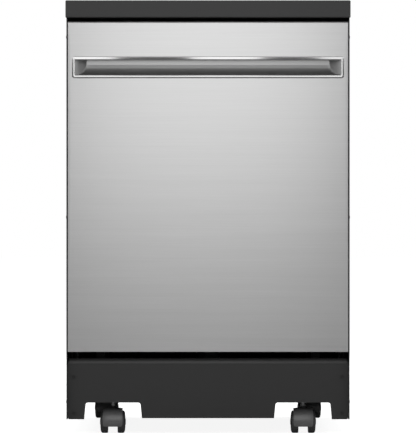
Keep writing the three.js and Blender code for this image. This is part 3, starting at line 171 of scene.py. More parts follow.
@dataclass(frozen=True)
class Painter:
    """Adds nodes to a material's tree and joins them."""

    tree: bpy.types.NodeTree

    def add(self, kind: str) -> bpy.types.Node:
        """Adds a node of a kind."""
        return self.tree.nodes.new(kind)

    def link(self, source: Socket, target: Socket) -> None:
        """Joins two sockets."""
        self.tree.links.new(source, target)

    def reckon(self, kind: str, *values: Socket | float) -> Socket:
        """Reckons with values.

        Args:
            kind: What is done with them.
            values: Sockets or plain numbers, in order.

        Returns:
            The result.
        """
        made = self.add("ShaderNodeMath")
        made.operation = kind
        for value, target in zip(values, made.inputs):
            if isinstance(value, Socket):
                self.link(value, target)
            else:
                target.default_value = value
        return made.outputs[0]

    def noise(self, scale: Sequence[float], detail: float) -> Socket:
        """Adds noise in the piece's own space.

        Args:
            scale: Marks per metre along X, Y and Z.
            detail: Octaves of the noise.

        Returns:
            The noise's value, 0 to 1.
        """
        where = self.add("ShaderNodeTexCoord")
        mapping = self.add("ShaderNodeMapping")
        mapping.inputs["Scale"].default_value = scale
        made = self.add("ShaderNodeTexNoise")
        made.inputs["Scale"].default_value = 1.0
        made.inputs["Detail"].default_value = detail
        self.link(where.outputs["Object"], mapping.inputs["Vector"])
        self.link(mapping.outputs[0], made.inputs["Vector"])
        return made.outputs["Fac"]

    def spread(self, value: Socket, old: Span, new: Span) -> Socket:
        """Spreads a part of a value's range over another range.

        Args:
            value: The value.
            old: The part of its range that counts.
            new: The range that this part becomes.

        Returns:
            The value in the new range.
        """
        made = self.add("ShaderNodeMapRange")
        for name, number in zip(("From Min", "From Max", "To Min", "To Max"), (*old, *new)):
            made.inputs[name].default_value = number
        self.link(value, made.inputs["Value"])
        return made.outputs["Result"]

    def between(self, value: Socket, low: Colour, high: Colour) -> Socket:
        """Blends two colours by a noise value.

        Args:
            value: The noise value.
            low: The colour where the value is low.
            high: The colour where the value is high.

        Returns:
            The blended colour.
        """
        ramp = self.add("ShaderNodeValToRGB")
        for stop, place, colour in zip(ramp.color_ramp.elements, NOISE_COLOURS, (low, high)):
            stop.position = place
            stop.color = colour
        self.link(value, ramp.inputs[0])
        return ramp.outputs[0]

    def worn(self, colour: Socket, edge: Colour, share: float) -> Socket:
        """Lightens a colour along the piece's edges.

        Args:
            colour: The colour away from the edges.
            edge: The colour of a rubbed edge.
            share: How much of the edge colour shows.

        Returns:
            The colour with rubbed edges.
        """
        where = self.add("ShaderNodeNewGeometry")
        rubbed = self.spread(where.outputs["Pointiness"], EDGE_BEND, (0.0, share))
        mix = self.add("ShaderNodeMix")
        mix.data_type = "RGBA"
        self.link(rubbed, mix.inputs["Factor"])
        self.link(colour, mix.inputs[6])
        mix.inputs[7].default_value = edge
        return mix.outputs[2]


def fresh_painter(owner: bpy.types.Material | bpy.types.World) -> Painter:
    """Clears a material's or the world's nodes and gives the painter for new ones."""
    owner.use_nodes = True
    owner.node_tree.nodes.clear()
    return Painter(owner.node_tree)


DOOR_STEEL = Finish("door_steel", "stainless_door", Grain.BRUSHED, tone(188), 0.38, 1.0,
                    shade=0.045, uneven=0.02, depth=0.0015, stretch=0.6)
TRIM_STEEL = Finish("trim_steel", "handle_trim", Grain.BRUSHED, tone(174), 0.1, 1.0,
                    shade=0.03, uneven=0.03, depth=0.0004)
SCOOP_STEEL = Finish("scoop_steel", "handle_trim", Grain.BRUSHED, tone(174), 0.4, 1.0,
                     shade=0.05, uneven=0.04, depth=0.0015)
# A darker steel for the scoop's end walls: painted shade in the ends of the pocket.
SCOOP_END_PAINTED_SHADE = Finish("scoop_end_steel", "handle_trim", Grain.SATIN, tone(142), 0.5, 1.0,
                         shade=0.05, uneven=0.05, depth=0.0015)
TUB_STEEL = Finish("tub_steel", "tub_steel", Grain.UPRIGHT, tone(190), 0.3, 1.0,
                   shade=0.03, uneven=0.05, depth=0.001)
LINER_STEEL = Finish("liner_steel", "tub_steel", Grain.BRUSHED, tone(192), 0.27, 1.0,
                     shade=0.03, uneven=0.05, depth=0.001)
BRIGHT_STEEL = Finish("bright_steel", "bright_steel", Grain.SATIN, tone(205), 0.28, 1.0,
                      shade=0.05, uneven=0.08, depth=0.002)
ZINC = Finish("zinc", "galvanised", Grain.SPANGLED, tone(92), 0.48, 1.0,
              shade=0.16, uneven=0.1, depth=0.003)
WORKTOP_LAMINATE = Finish("worktop_laminate", "worktop", Grain.LAMINATE, tone(46), 0.6,
                          shade=0.12, uneven=0.06, depth=0.02, wear=0.12)
CABINET_PAINT = Finish("cabinet_paint", "cabinet_paint", Grain.PAINTED, tone(14), 0.42,
                       shade=0.05, uneven=0.06, depth=0.03, wear=0.06, gloss=0.3)
KICK_PLASTIC = Finish("kick_plastic", "kick_plastic", Grain.PAINTED, tone(48), 0.62,
                      shade=0.06, uneven=0.06, depth=0.02, wear=0.02, gloss=0.14)
DARK_PLASTIC = Finish("dark_plastic", "dark_plastic", Grain.MOULDED, tone(38), 0.42,
                      shade=0.06, uneven=0.06, depth=0.012, wear=0.1)
GREY_PLASTIC = Finish("grey_plastic", "grey_plastic", Grain.MOULDED, tone(158, -0.02), 0.4,
                      shade=0.04, uneven=0.06, depth=0.012)
RACK_VINYL = Finish("rack_vinyl", "rack_coating", Grain.WIRE, tone(150, -0.01), 0.34,
                    shade=0.05, uneven=0.06, depth=0.01)
# Dark rubber for the tub's seal; round the handle it also fills the groove as a painted shadow line.
SEAL_RUBBER_AND_SHADOW_LINE = Finish("seal_rubber", "seal_rubber", Grain.RUBBER, tone(52), 0.62,
                     shade=0.08, uneven=0.08, depth=0.02)
TREAD_RUBBER = Finish("tread_rubber", "caster_tread", Grain.RUBBER, tone(66), 0.5,
                      shade=0.1, uneven=0.08, depth=0.02, wear=0.15)
HOOD_PLASTIC = Finish("hood_plastic", "dark_plastic", Grain.MOULDED, tone(98), 0.3,
                      shade=0.06, uneven=0.05, depth=0.01, wear=0.12)
CAP_PLASTIC = Finish("cap_plastic", "button_cap", Grain.MOULDED, tone(90), 0.34,
                     shade=0.04, uneven=0.04, depth=0.008)


# ---------------------------------------------------------------- outlines and forms


def arc(centre: Flat, radius: float, start: float, stop: float, steps: int) -> list[Flat]:
    """Draws an arc.

    Args:
        centre: Its centre.
        radius: Its radius.
        start: Its first angle in degrees.
        stop: Its last angle in degrees.
        steps: How many pieces it is drawn with.

    Returns:
        Its points.
    """
    turns = [math.radians(start + (stop - start) * i / steps) for i in range(steps + 1)]
    return [(centre[0] + radius * math.cos(a), centre[1] + radius * math.sin(a)) for a in turns]


def rounded(u: Span, v: Span, radius: float, steps: int = 6) -> list[Flat]:
    """Draws a rectangle with round corners.

    Args:
        u: Its reach along the first direction.
        v: Its reach along the second direction.
        radius: The corners' radius.
        steps: Pieces in each corner.

    Returns:
        Its outline.
    """
    radius = max(radius, 0.01)
    near, far, low, high = u[0] + radius, u[1] - radius, v[0] + radius, v[1] - radius
    corners = ((far, low, -90), (far, high, 0), (near, high, 90), (near, low, 180))
    return [point for x, y, start in corners for point in arc((x, y), radius, start, start + 90, steps)]


def drawn_in(u: Span, v: Span, inset: float, radius: float, steps: int = 8) -> list[Flat]:
    """Draws a rectangle with round corners and each side drawn in by an inset."""
    return rounded((u[0] + inset, u[1] - inset), (v[0] + inset, v[1] - inset), radius, steps)


def mirrored(right: Sequence[Flat]) -> list[Flat]:
    """Adds the left half to the right half of an outline."""
    return [(-x, z) for x, z in reversed(right)] + list(right)


def circle(centre: Flat, radius: float, steps: int = 32) -> list[Flat]:
    """Draws a circle."""
    return arc(centre, radius, 0, 360, steps)[:-1]


def evenly(first: float, last: float, count: int) -> list[float]:
    """Gives places evenly spread from the first to the last, both included."""
    return [first + (last - first) * i / (count - 1) for i in range(count)]


def bent(corners: Sequence[Solid], radii: Sequence[float], steps: int = 6) -> list[Vector]:
    """Bends a path round its inner corners.

    Args:
        corners: The path's corners, with its two ends.
        radii: How much of each side is taken up by each bend.
        steps: Pieces in each bend.

    Returns:
        The path's points in order.
    """
    path = [Vector(corner) for corner in corners]
    made = [path[0]]
    for a, b, c, r in zip(path, path[1:], path[2:], radii):
        start, end = b + (a - b).normalized() * r, b + (c - b).normalized() * r
        for t in evenly(0, 1, steps + 1):
            made.append(start * (1 - t) ** 2 + b * 2 * t * (1 - t) + end * t * t)
    return [*made, path[-1]]


def ease(t: float, first: float, second: float, last: float) -> float:
    """Gives a smooth curve's value, from 0 at t = 0 to its last number at t = 1.

    Args:
        t: How far along the curve.
        first: The number that draws its start.
        second: The number that draws its end.
        last: What it ends at.

    Returns:
        The value.
    """
    return 3 * (1 - t) ** 2 * t * first + 3 * (1 - t) * t * t * second + t**3 * last


class Along(Enum):
    """The direction that an outline is pulled in; the outline lies in the other two, in order."""

    X = (2, 0, 1)
    Y = (0, 2, 1)
    Z = (0, 1, 2)

    def at(self, u: float, v: float, w: float) -> Vector:
        """Places a point of the outline, w along this direction."""
        return Vector([(u, v, w)[i] for i in self.value])


class Form:
    """Gathers the surfaces of one piece, in millimetres, and makes them an object."""

    def __init__(self) -> None:
        """Starts with nothing."""
        self.mesh = bmesh.new()

    def skin(self, rings: Iterable[Iterable[Vector]], ends: bool = True, loop: bool = False) -> "Form":
        """Joins closed rings of points in order.

        Args:
            rings: The rings, each with the same number of points.
            ends: Whether the first and last ring are filled.
            loop: Whether the last ring is joined to the first.

        Returns:
            This form.
        """
        made = [[self.mesh.verts.new(p) for p in ring] for ring in rings]
        pairs = list(zip(made, made[1:])) + ([(made[-1], made[0])] if loop else [])
        for a, b in pairs:
            for i in range(len(a)):
                j = (i + 1) % len(a)
                self.mesh.faces.new((a[i], a[j], b[j], b[i]))
        if ends and not loop:
            self.mesh.faces.new(made[0])
            self.mesh.faces.new(made[-1])
        return self

    def layers(self, stack: Stack, along: Along, ends: bool = True, loop: bool = False) -> "Form":
        """Joins outlines that lie at different depths.

        Args:
            stack: Each outline with its depth.
            along: The direction of the depth.
            ends: Whether the first and last outline are filled.
            loop: Whether the last outline is joined to the first.

        Returns:
            This form.
        """
        return self.skin([[along.at(u, v, w) for u, v in o] for o, w in stack], ends, loop)

    def turn(self, profile: Sequence[Flat], origin: Solid, along: Along,
             steps: int = 32, loop: bool = False) -> "Form":
        """Turns a profile round a line.

        Args:
            profile: Points as distance along the line and radius.
            origin: A point on the line.
            along: The line's direction.
            steps: Pieces in a full turn.
            loop: Whether the profile closes on itself.

        Returns:
            This form.
        """
        start = Vector(origin)
        rings = [[start + along.at(u, v, w) for u, v in circle((0, 0), r, steps)] for w, r in profile]
        return self.skin(rings, not loop, loop)

    def tube(self, path: Sequence[Sequence[float]], radius: float, sides: int = 8,
             loop: bool = False) -> "Form":
        """Draws a round wire along a path.

        Args:
            path: Its points.
            radius: The wire's radius.
            sides: Faces round the wire.
            loop: Whether its end meets its start.

        Returns:
            This form.
        """
        points = [Vector(p) for p in path]
        count = len(points)
        rings, side = [], None
        for i, point in enumerate(points):
            before = points[i - 1] if loop or i else point
            after = points[(i + 1) % count] if loop or i < count - 1 else point
            ahead = (after - before).normalized()
            if side is None:
                side = ahead.orthogonal().normalized()
            side = (side - ahead * side.dot(ahead)).normalized()
            other = ahead.cross(side)
            rings.append([point + side * u + other * v for u, v in circle((0, 0), radius, sides)])
        return self.skin(rings, not loop, loop)

    def block(self, low: Solid, high: Solid, edge: float = 0.0, steps: int = 2) -> "Form":
        """Makes a block with rounded edges.

        Args:
            low: Its lowest corner.
            high: Its highest corner.
            edge: The radius of its edges.
            steps: Pieces in each rounded edge.

        Returns:
            This form.
        """
        part = bmesh.new()
        middle = (Vector(low) + Vector(high)) / 2
        size = Vector(high) - Vector(low)
        place = Matrix.Translation(middle) @ Matrix.Diagonal((*size, 1))
        bmesh.ops.create_cube(part, size=1, matrix=place)
        if edge:
            bmesh.ops.bevel(part, geom=part.edges[:], offset=edge, segments=steps, profile=0.5,
                            affect="EDGES")
        return self.take(part)

    def spokes(self, low: Solid, high: Solid, edge: float, at: Solid, along: Along,
               turns: Iterable[float]) -> "Form":
        """Sets the same block at several angles round a line.

        Args:
            low: The block's lowest corner at no angle, with the line through the origin.
            high: Its highest corner.
            edge: The radius of its edges.
            at: A point on the line.
            along: The line's direction.
            turns: The angles in degrees.

        Returns:
            This form.
        """
        for turn in turns:
            spoke = Form().block(low, high, edge)
            spoke.move(Matrix.Translation(at) @ Matrix.Rotation(math.radians(turn), 4, along.name))
            self.take(spoke.mesh)
        return self

    def plate(self, outlines: Sequence[Sequence[Flat]], along: Along, span: Span,
              edge: float = 0.0, steps: int = 2) -> "Form":
        """Makes a flat plate whose inner outlines are holes.

        Args:
            outlines: The outer outline and then the holes.
            along: The direction of its thickness.
            span: Where it starts and ends in that direction.
            edge: The radius of its edges.
            steps: Pieces in each rounded edge.

        Returns:
            This form.
        """
        curve = bpy.data.curves.new("outline", "CURVE")
        curve.dimensions = "2D"
        curve.fill_mode = "BOTH"
        curve.extrude = (span[1] - span[0]) / 2 - edge
        curve.bevel_depth = edge
        curve.bevel_resolution = steps - 1
        curve.offset = -edge
        for outline in outlines:
            spline = curve.splines.new("POLY")
            spline.points.add(len(outline) - 1)
            spline.points.foreach_set("co", [n for u, v in outline for n in (u, v, 0, 1)])
            spline.use_cyclic_u = True
        holder = bpy.data.objects.new("outline", curve)
        bpy.context.collection.objects.link(holder)
        evaluated = holder.evaluated_get(bpy.context.evaluated_depsgraph_get())
        flat = bpy.data.meshes.new_from_object(evaluated)
        part = bmesh.new()
        part.from_mesh(flat)
        bpy.data.objects.remove(holder)
        bpy.data.meshes.remove(flat)
        bmesh.ops.remove_doubles(part, verts=part.verts, dist=0.0005)
        middle = (span[0] + span[1]) / 2
        for vertex in part.verts:
            u, v, w = vertex.co
            vertex.co = along.at(u, v, w + middle)
        return self.take(part)

    def cover(self, outline: Sequence[Flat], along: Along, w: float) -> "Form":
        """Adds a flat face with an outline, w along a direction."""
        self.mesh.faces.new([self.mesh.verts.new(along.at(u, v, w)) for u, v in outline])
        return self

    def close(self, count: int) -> "Form":
        """Fills the last ring drawn, which has so many points."""
        self.mesh.faces.new(list(self.mesh.verts)[-count:])
        return self

    def take(self, part: bmesh.types.BMesh, mirror: bool = False) -> "Form":
        """Adds another mesh's surfaces and frees that mesh.

        Args:
            part: The mesh.
            mirror: Whether its mirror image across the machine's middle is added too.

        Returns:
            This form.
        """
        for flip in (False, True) if mirror else (False,):
            if flip:
                bmesh.ops.scale(part, vec=(-1, 1, 1), verts=part.verts)
            holder = bpy.data.meshes.new("part")
            part.to_mesh(holder)
            self.mesh.from_mesh(holder)
            bpy.data.meshes.remove(holder)
        part.free()
        return self

    def both(self, part: "Form") -> "Form":
        """Adds another form and its mirror image across the machine's middle."""
        return self.take(part.mesh, mirror=True)

    def move(self, matrix: Matrix) -> "Form":
        """Moves everything drawn so far."""
        self.mesh.transform(matrix)
        return self

    def mirror(self) -> "Form":
        """Swaps left and right in everything drawn so far."""
        return self.move(Matrix.Scale(-1, 4, (1, 0, 0)))

    def piece(self, name: str, finish: Finish, body: str, stands_for: Sequence[str] = (),
              crease: float = 35.0, edge: float = 0.0,
              across: tuple[str, Vector, Vector] | None = None) -> bpy.types.Object:
        """Makes the object and hands it to its body.

        Args:
            name: The piece's name.
            finish: Its surface.
            body: The body that it rides on.
            stands_for: The nodes that it replaces.
            crease: Edges bent by more degrees than this stay sharp.
            edge: A radius for its sharp edges.
            across: For a piece that crosses a joint: the joint's other body and two points, which are not
                used.
                Only whether it is given counts: such a piece keeps its place and is handed to no body.

        Returns:
            The finished object.
        """
        bmesh.ops.recalc_face_normals(self.mesh, faces=self.mesh.faces)
        self.mesh.transform(Matrix.Scale(MM, 4))
        data = bpy.data.meshes.new(name)
        self.mesh.to_mesh(data)
        self.mesh.free()
        data.shade_smooth()
        made = bpy.data.objects.new(name, data)
        bpy.context.collection.objects.link(made)
        if edge:
            soften(made, edge, crease)
        else:
            data.set_sharp_from_angle(angle=math.radians(crease))
        made.modifiers.new("normals", "WEIGHTED_NORMAL").keep_sharp = True
        dress(made, finish)
        if across:
            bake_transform(made)
        else:
            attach(made, body)
        if stands_for:
            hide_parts(*stands_for)
        log.info("%s: %d faces on %s", name, len(data.polygons), body)
        return made


def dress(made: bpy.types.Object, finish: Finish) -> None:
    """Gives an object one finish all over."""
    made.data.materials.clear()
    made.data.materials.append(finish.material())


def soften(made: bpy.types.Object, edge: float, crease: float) -> None:
    """Rounds an object's sharp edges.

    Args:
        made: The object.
        edge: The rounding's radius in millimetres.
        crease: Only edges bent by more degrees than this are rounded.
    """
    bevel = made.modifiers.new("edges", "BEVEL")
    bevel.width = edge * MM
    bevel.segments = 2
    bevel.limit_method = "ANGLE"
    bevel.angle_limit = math.radians(crease)


def carry_over(node: str, finish: Finish, edge: float = 0.4) -> None:
    """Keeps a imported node's shape, with softened edges and a finish.

    Args:
        node: The node's name.
        finish: Its surface.
        edge: The radius of its edges in millimetres.
    """
    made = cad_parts[node]
    dress(made, finish)
    soften(made, edge, crease=40)
    made.modifiers.new("normals", "WEIGHTED_NORMAL").keep_sharp = True
    log.info("%s: kept", node)


# ---------------------------------------------------------------- cabinet


@dataclass(frozen=True)
class Worktop:
    """The laminate slab that the machine is covered by."""

    half_width: float = 308
    half_depth: float = 355
    low: float = 901
    high: float = 938
    corner: float = 6
    edge: float = 2.2

    def outline(self, inset: float) -> list[Flat]:
        """Draws the slab's outline drawn in by an inset."""
        return drawn_in((-self.half_width, self.half_width), (-self.half_depth, self.half_depth), inset,
                        self.corner - inset)

    def build(self) -> None:
        """Makes the slab with rounded edges."""
        turns = [math.radians(a) for a in (0, 18, 36, 54, 72, 90)]
        bend = [(self.edge * (1 - math.sin(a)), self.edge * (1 - math.cos(a))) for a in turns]
        stack = [(self.outline(inset), self.low + rise) for inset, rise in bend]
        stack += [(self.outline(inset), self.high - rise) for inset, rise in reversed(bend)]
        slab = Form().layers(stack, Along.Z)
        slab.piece("worktop_slab", WORKTOP_LAMINATE, "cabinet", ["worktop"], crease=30)


@dataclass(frozen=True)
class Panels:
    """The painted side and rear panels, with the pocket that stores the cord and the hoses."""

    outer: float = 306.2
    sheet: float = 2
    front: float = -341
    back: float = 341
    low: float = 32.2
    high: float = 900.5
    rear_half: float = 304.3
    rear_face: float = 340
    rear_low: float = 40
    rear_sheet: float = 1.4
    pocket_u: Span = (-170, 170)
    pocket_v: Span = (690, 840)
    pocket_floor: float = 282
    gland: Flat = (-120, 724)
    screw_radius: float = 4.2
    side_screws: Sequence[Flat] = (
        (-322, 70), (-322, 470), (-322, 860), (322, 70), (322, 470), (322, 860), (0, 52))
    rear_screw_rows: Sequence[float] = (60, 260, 470, 680, 880)
    louvre_columns: Span = (-150, 150)
    louvre_half: float = 46
    louvre_rows: tuple[float, float, int] = (150, 262, 9)
    beads: Sequence[float] = (360, 470, 580)
    bead_half: float = 235
    bead_rise: float = 9

    def build(self) -> None:
        """Makes both sides, the rear panel and the cord's gland."""
        for name in ("left", "right"):
            sheet, heads = Form(), Form()
            outline = rounded((self.front, self.back), (self.low, self.high), 3)
            sheet.plate([outline], Along.X, (self.outer - self.sheet, self.outer), 0.3)
            for y, z in self.side_screws:
                heads.turn(self.head(), (self.outer - 0.2, y, z), Along.X, 20)
            if name == "left":
                sheet.mirror()
                heads.mirror()
            sheet.piece(f"{name}_panel_sheet", CABINET_PAINT, "cabinet", [f"{name}_side_panel"])
            heads.piece(f"{name}_panel_screws", ZINC, "cabinet")
        self.rear()
        self.bush()

    def head(self) -> list[Flat]:
        """Gives a pan-head screw's profile."""
        r = self.screw_radius
        return [(0, r), (0.7, r * 0.95), (1.4, r * 0.7), (1.7, r * 0.35), (1.2, r * 0.3), (1.2, 0.4)]

    def rear(self) -> None:
        """Makes the rear panel with its pocket, louvres, beads and screws."""
        half, face = self.rear_half, self.rear_face
        outline = rounded((-half, half), (self.rear_low, self.high), 3)
        reach = self.louvre_half
        slots = [rounded((x - reach, x + reach), (z, z + 5), 2.4, 4) for x, z in self.louvres()]
        form = Form()
        form.plate([outline, self.hollow(0), *slots], Along.Y, (face - self.rear_sheet, face), 0.4)
        self.draw_pocket(form)
        self.draw_louvres(form)
        self.draw_beads(form)
        form.piece("rear_panel_sheet", CABINET_PAINT, "cabinet", ["rear_panel"])
        heads = Form()
        spots = [(x, z) for x in (-290, 290) for z in self.rear_screw_rows]
        for x, z in [*spots, (-100, 60), (100, 60)]:
            heads.turn([(w * 0.7, r) for w, r in self.head()], (x, face - 0.2, z), Along.Y, 20)
        heads.piece("rear_panel_screws", ZINC, "cabinet")

    def louvres(self) -> list[Flat]:
        """Gives each louvre's middle and lower edge."""
        return [(x, z) for x in self.louvre_columns for z in evenly(*self.louvre_rows)]

    def hollow(self, inset: float) -> list[Flat]:
        """Draws the pocket's outline drawn in by an inset."""
        return drawn_in(self.pocket_u, self.pocket_v, inset, 12)

    def draw_pocket(self, form: Form) -> None:
        """Draws the pocket: its outer wall, its floor with the gland's hole and its lining.

        Args:
            form: The rear panel's form.
        """
        face, floor = self.rear_face, self.pocket_floor
        wall = [(-1.2, face - self.rear_sheet), (-1.2, face - 0.4), (0, face), (1.2, face - 1),
                (2, floor + 5), (3.5, floor + 2), (7, floor + 1.5)]
        lining = [(0, face - 2), (0.4, floor + 5), (2.2, floor + 1), (6.6, floor)]
        form.layers([(self.hollow(inset), y) for inset, y in wall], Along.Y, ends=False)
        form.plate([self.hollow(6.5), circle(self.gland, 9.4, 24)], Along.Y, (floor, floor + 1.5))
        form.layers([(self.hollow(inset), y) for inset, y in lining], Along.Y, ends=False)

    def draw_louvres(self, form: Form) -> None:
        """Draws the louvres' hoods, each pressed flat at its two ends.

        Args:
            form: The rear panel's form.
        """
        reach = self.louvre_half
        for x, z in self.louvres():
            hood = [(0, z + 6.5), (0, z + 5.2), (-3.2, z - 0.4), (-3.9, z + 0.4), (-1.2, z + 5.6)]
            places = ((x - reach - 1, 0.15), (x - reach + 3, 1), (x + reach - 3, 1), (x + reach + 1, 0.15))
            form.skin([[Vector((at, self.rear_face - 0.8 + u * full, v)) for u, v in hood]
                       for at, full in places])

    def draw_beads(self, form: Form) -> None:
        """Draws the pressed beads that stiffen the rear panel.

        Args:
            form: The rear panel's form.
        """
        half, rise = self.bead_half, self.bead_rise
        profile = [(0, -0.3), (0.6, 0.1), (2.4, 0.8), (4.6, 1.3), (7, 1.5)]
        for z in self.beads:
            form.layers([(drawn_in((-half, half), (z - rise, z + rise), inset, rise - inset),
                          self.rear_face + out) for inset, out in profile], Along.Y)

    def bush(self) -> None:
        """Makes the bush that guides the cord through the pocket's floor."""
        profile = [(-3.5, 4.6), (-3.5, 8.8), (1.6, 8.8), (1.8, 14), (3.6, 14), (4.6, 12.6), (6, 10),
                   (11, 8.6), (15.4, 7.4), (16, 6.6), (16, 5.4), (15, 4.6)]
        x, z = self.gland
        bush = Form().turn(profile, (x, self.pocket_floor + 1.5, z), Along.Y, 28, loop=True)
        bush.piece("cord_gland_bush", DARK_PLASTIC, "cabinet", ["cord_gland"])


@dataclass(frozen=True)
class ToeKick:
    """The skirt under the door: a rolled top edge, two caster notches and four screws."""

    half: float = 302.3
    front: float = -333
    back: float = -314
    low: float = 34.6
    end_low: float = 32.2
    high: float = 164.4
    roll: float = 12
    sheet: float = 2
    notch: Span = (143, 268)
    notch_top: float = 68.4
    draft: float = 3
    notch_corner: float = 5
    chamfer: float = 0.4
    ends: Sequence[Flat] = ((0, 1.6), (0.6, 0.7), (1.6, 0.2), (3.5, 0))
    screw_x: float = 290
    screw_z: Span = (124.5, 46)
    screw_radius: float = 4
    slot_half: float = 0.62

    def build(self) -> None:
        """Makes the skirt and its screws."""
        form = Form()
        outline = self.skirt_outline(self.high - self.roll)
        form.plate([outline], Along.Y, (self.front, self.front + self.sheet), 0.35)
        form.skin([self.roll_section(inset - self.half, drop) for inset, drop in self.ends]
                  + [self.roll_section(self.half - inset, drop) for inset, drop in reversed(self.ends)])
        form.piece("toe_kick_skirt", KICK_PLASTIC, "cabinet", ["toe_kick"], crease=50)
        for level, z in zip(("upper", "lower"), self.screw_z):
            for side, name in ((-1, "left"), (1, "right")):
                self.screw(f"toe_kick_screw_{level}_{name}", side * self.screw_x, z)

    def skirt_outline(self, top: float) -> list[Flat]:
        """Draws the flat face's outline with both notches.

        Args:
            top: Where the flat face ends and the roll starts.

        Returns:
            The outline.
        """
        near, far = self.notch
        r, level, low = self.notch_corner, self.notch_top, self.end_low
        right = [(near, self.low), (near + self.draft, level - r)]
        right += arc((near + self.draft + r, level - r), r, 180, 90, 5)
        right += arc((far - self.draft - r, level - r), r, 90, 0, 5)
        right += [(far, low), (self.half - self.chamfer, low), (self.half, low + self.chamfer),
                  (self.half, top)]
        return mirrored(right)

    def roll_section(self, x: float, drop: float) -> list[Vector]:
        """Draws the roll's section.

        Args:
            x: Where along the machine's width.
            drop: How far the roll is lowered there.

        Returns:
            The section's points.
        """
        y, z, r = self.front + self.roll, self.high - self.roll, self.roll
        share, tail, foot = (r - drop) / r, self.high - drop - 3.2, z - 0.6
        outer = [(u, z + (v - z) * share) for u, v in arc((y, z), r, 180, 80, 9)]
        inner = [(u, z + (v - z) * share) for u, v in arc((y, z), r - self.sheet, 80, 180, 9)]
        path = [(self.front, foot), *outer, (self.back, tail), (self.back, tail - self.sheet), *inner,
                (self.front + self.sheet, foot)]
        return [Vector((x, u, v)) for u, v in path]

    def screw(self, node: str, x: float, z: float) -> None:
        """Makes one cross-head screw.

        Args:
            node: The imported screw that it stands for.
            x: Where it sits across the machine.
            z: Its height.
        """
        r, seat = self.screw_radius, self.front - 0.3
        arm, half = r * 0.62, self.slot_half
        cross = [(half, half), (half, arm), (-half, arm), (-half, half), (-arm, half), (-arm, -half),
                 (-half, -half), (-half, -arm), (half, -arm), (half, -half), (arm, -half), (arm, half)]
        form = Form()
        form.plate([circle((x, z), r), [(x + u, z + v) for u, v in reversed(cross)]], Along.Y,
                   (seat - 2.2, seat - 0.9), 0.3)
        form.turn([(-1.2, r - 0.1), (0, r - 0.1), (0, 1.6), (9, 1.6), (11, 0.5)], (x, seat, z), Along.Y, 20)
        form.piece(f"{node}_head", DARK_PLASTIC, "cabinet", [node])


# ---------------------------------------------------------------- casters


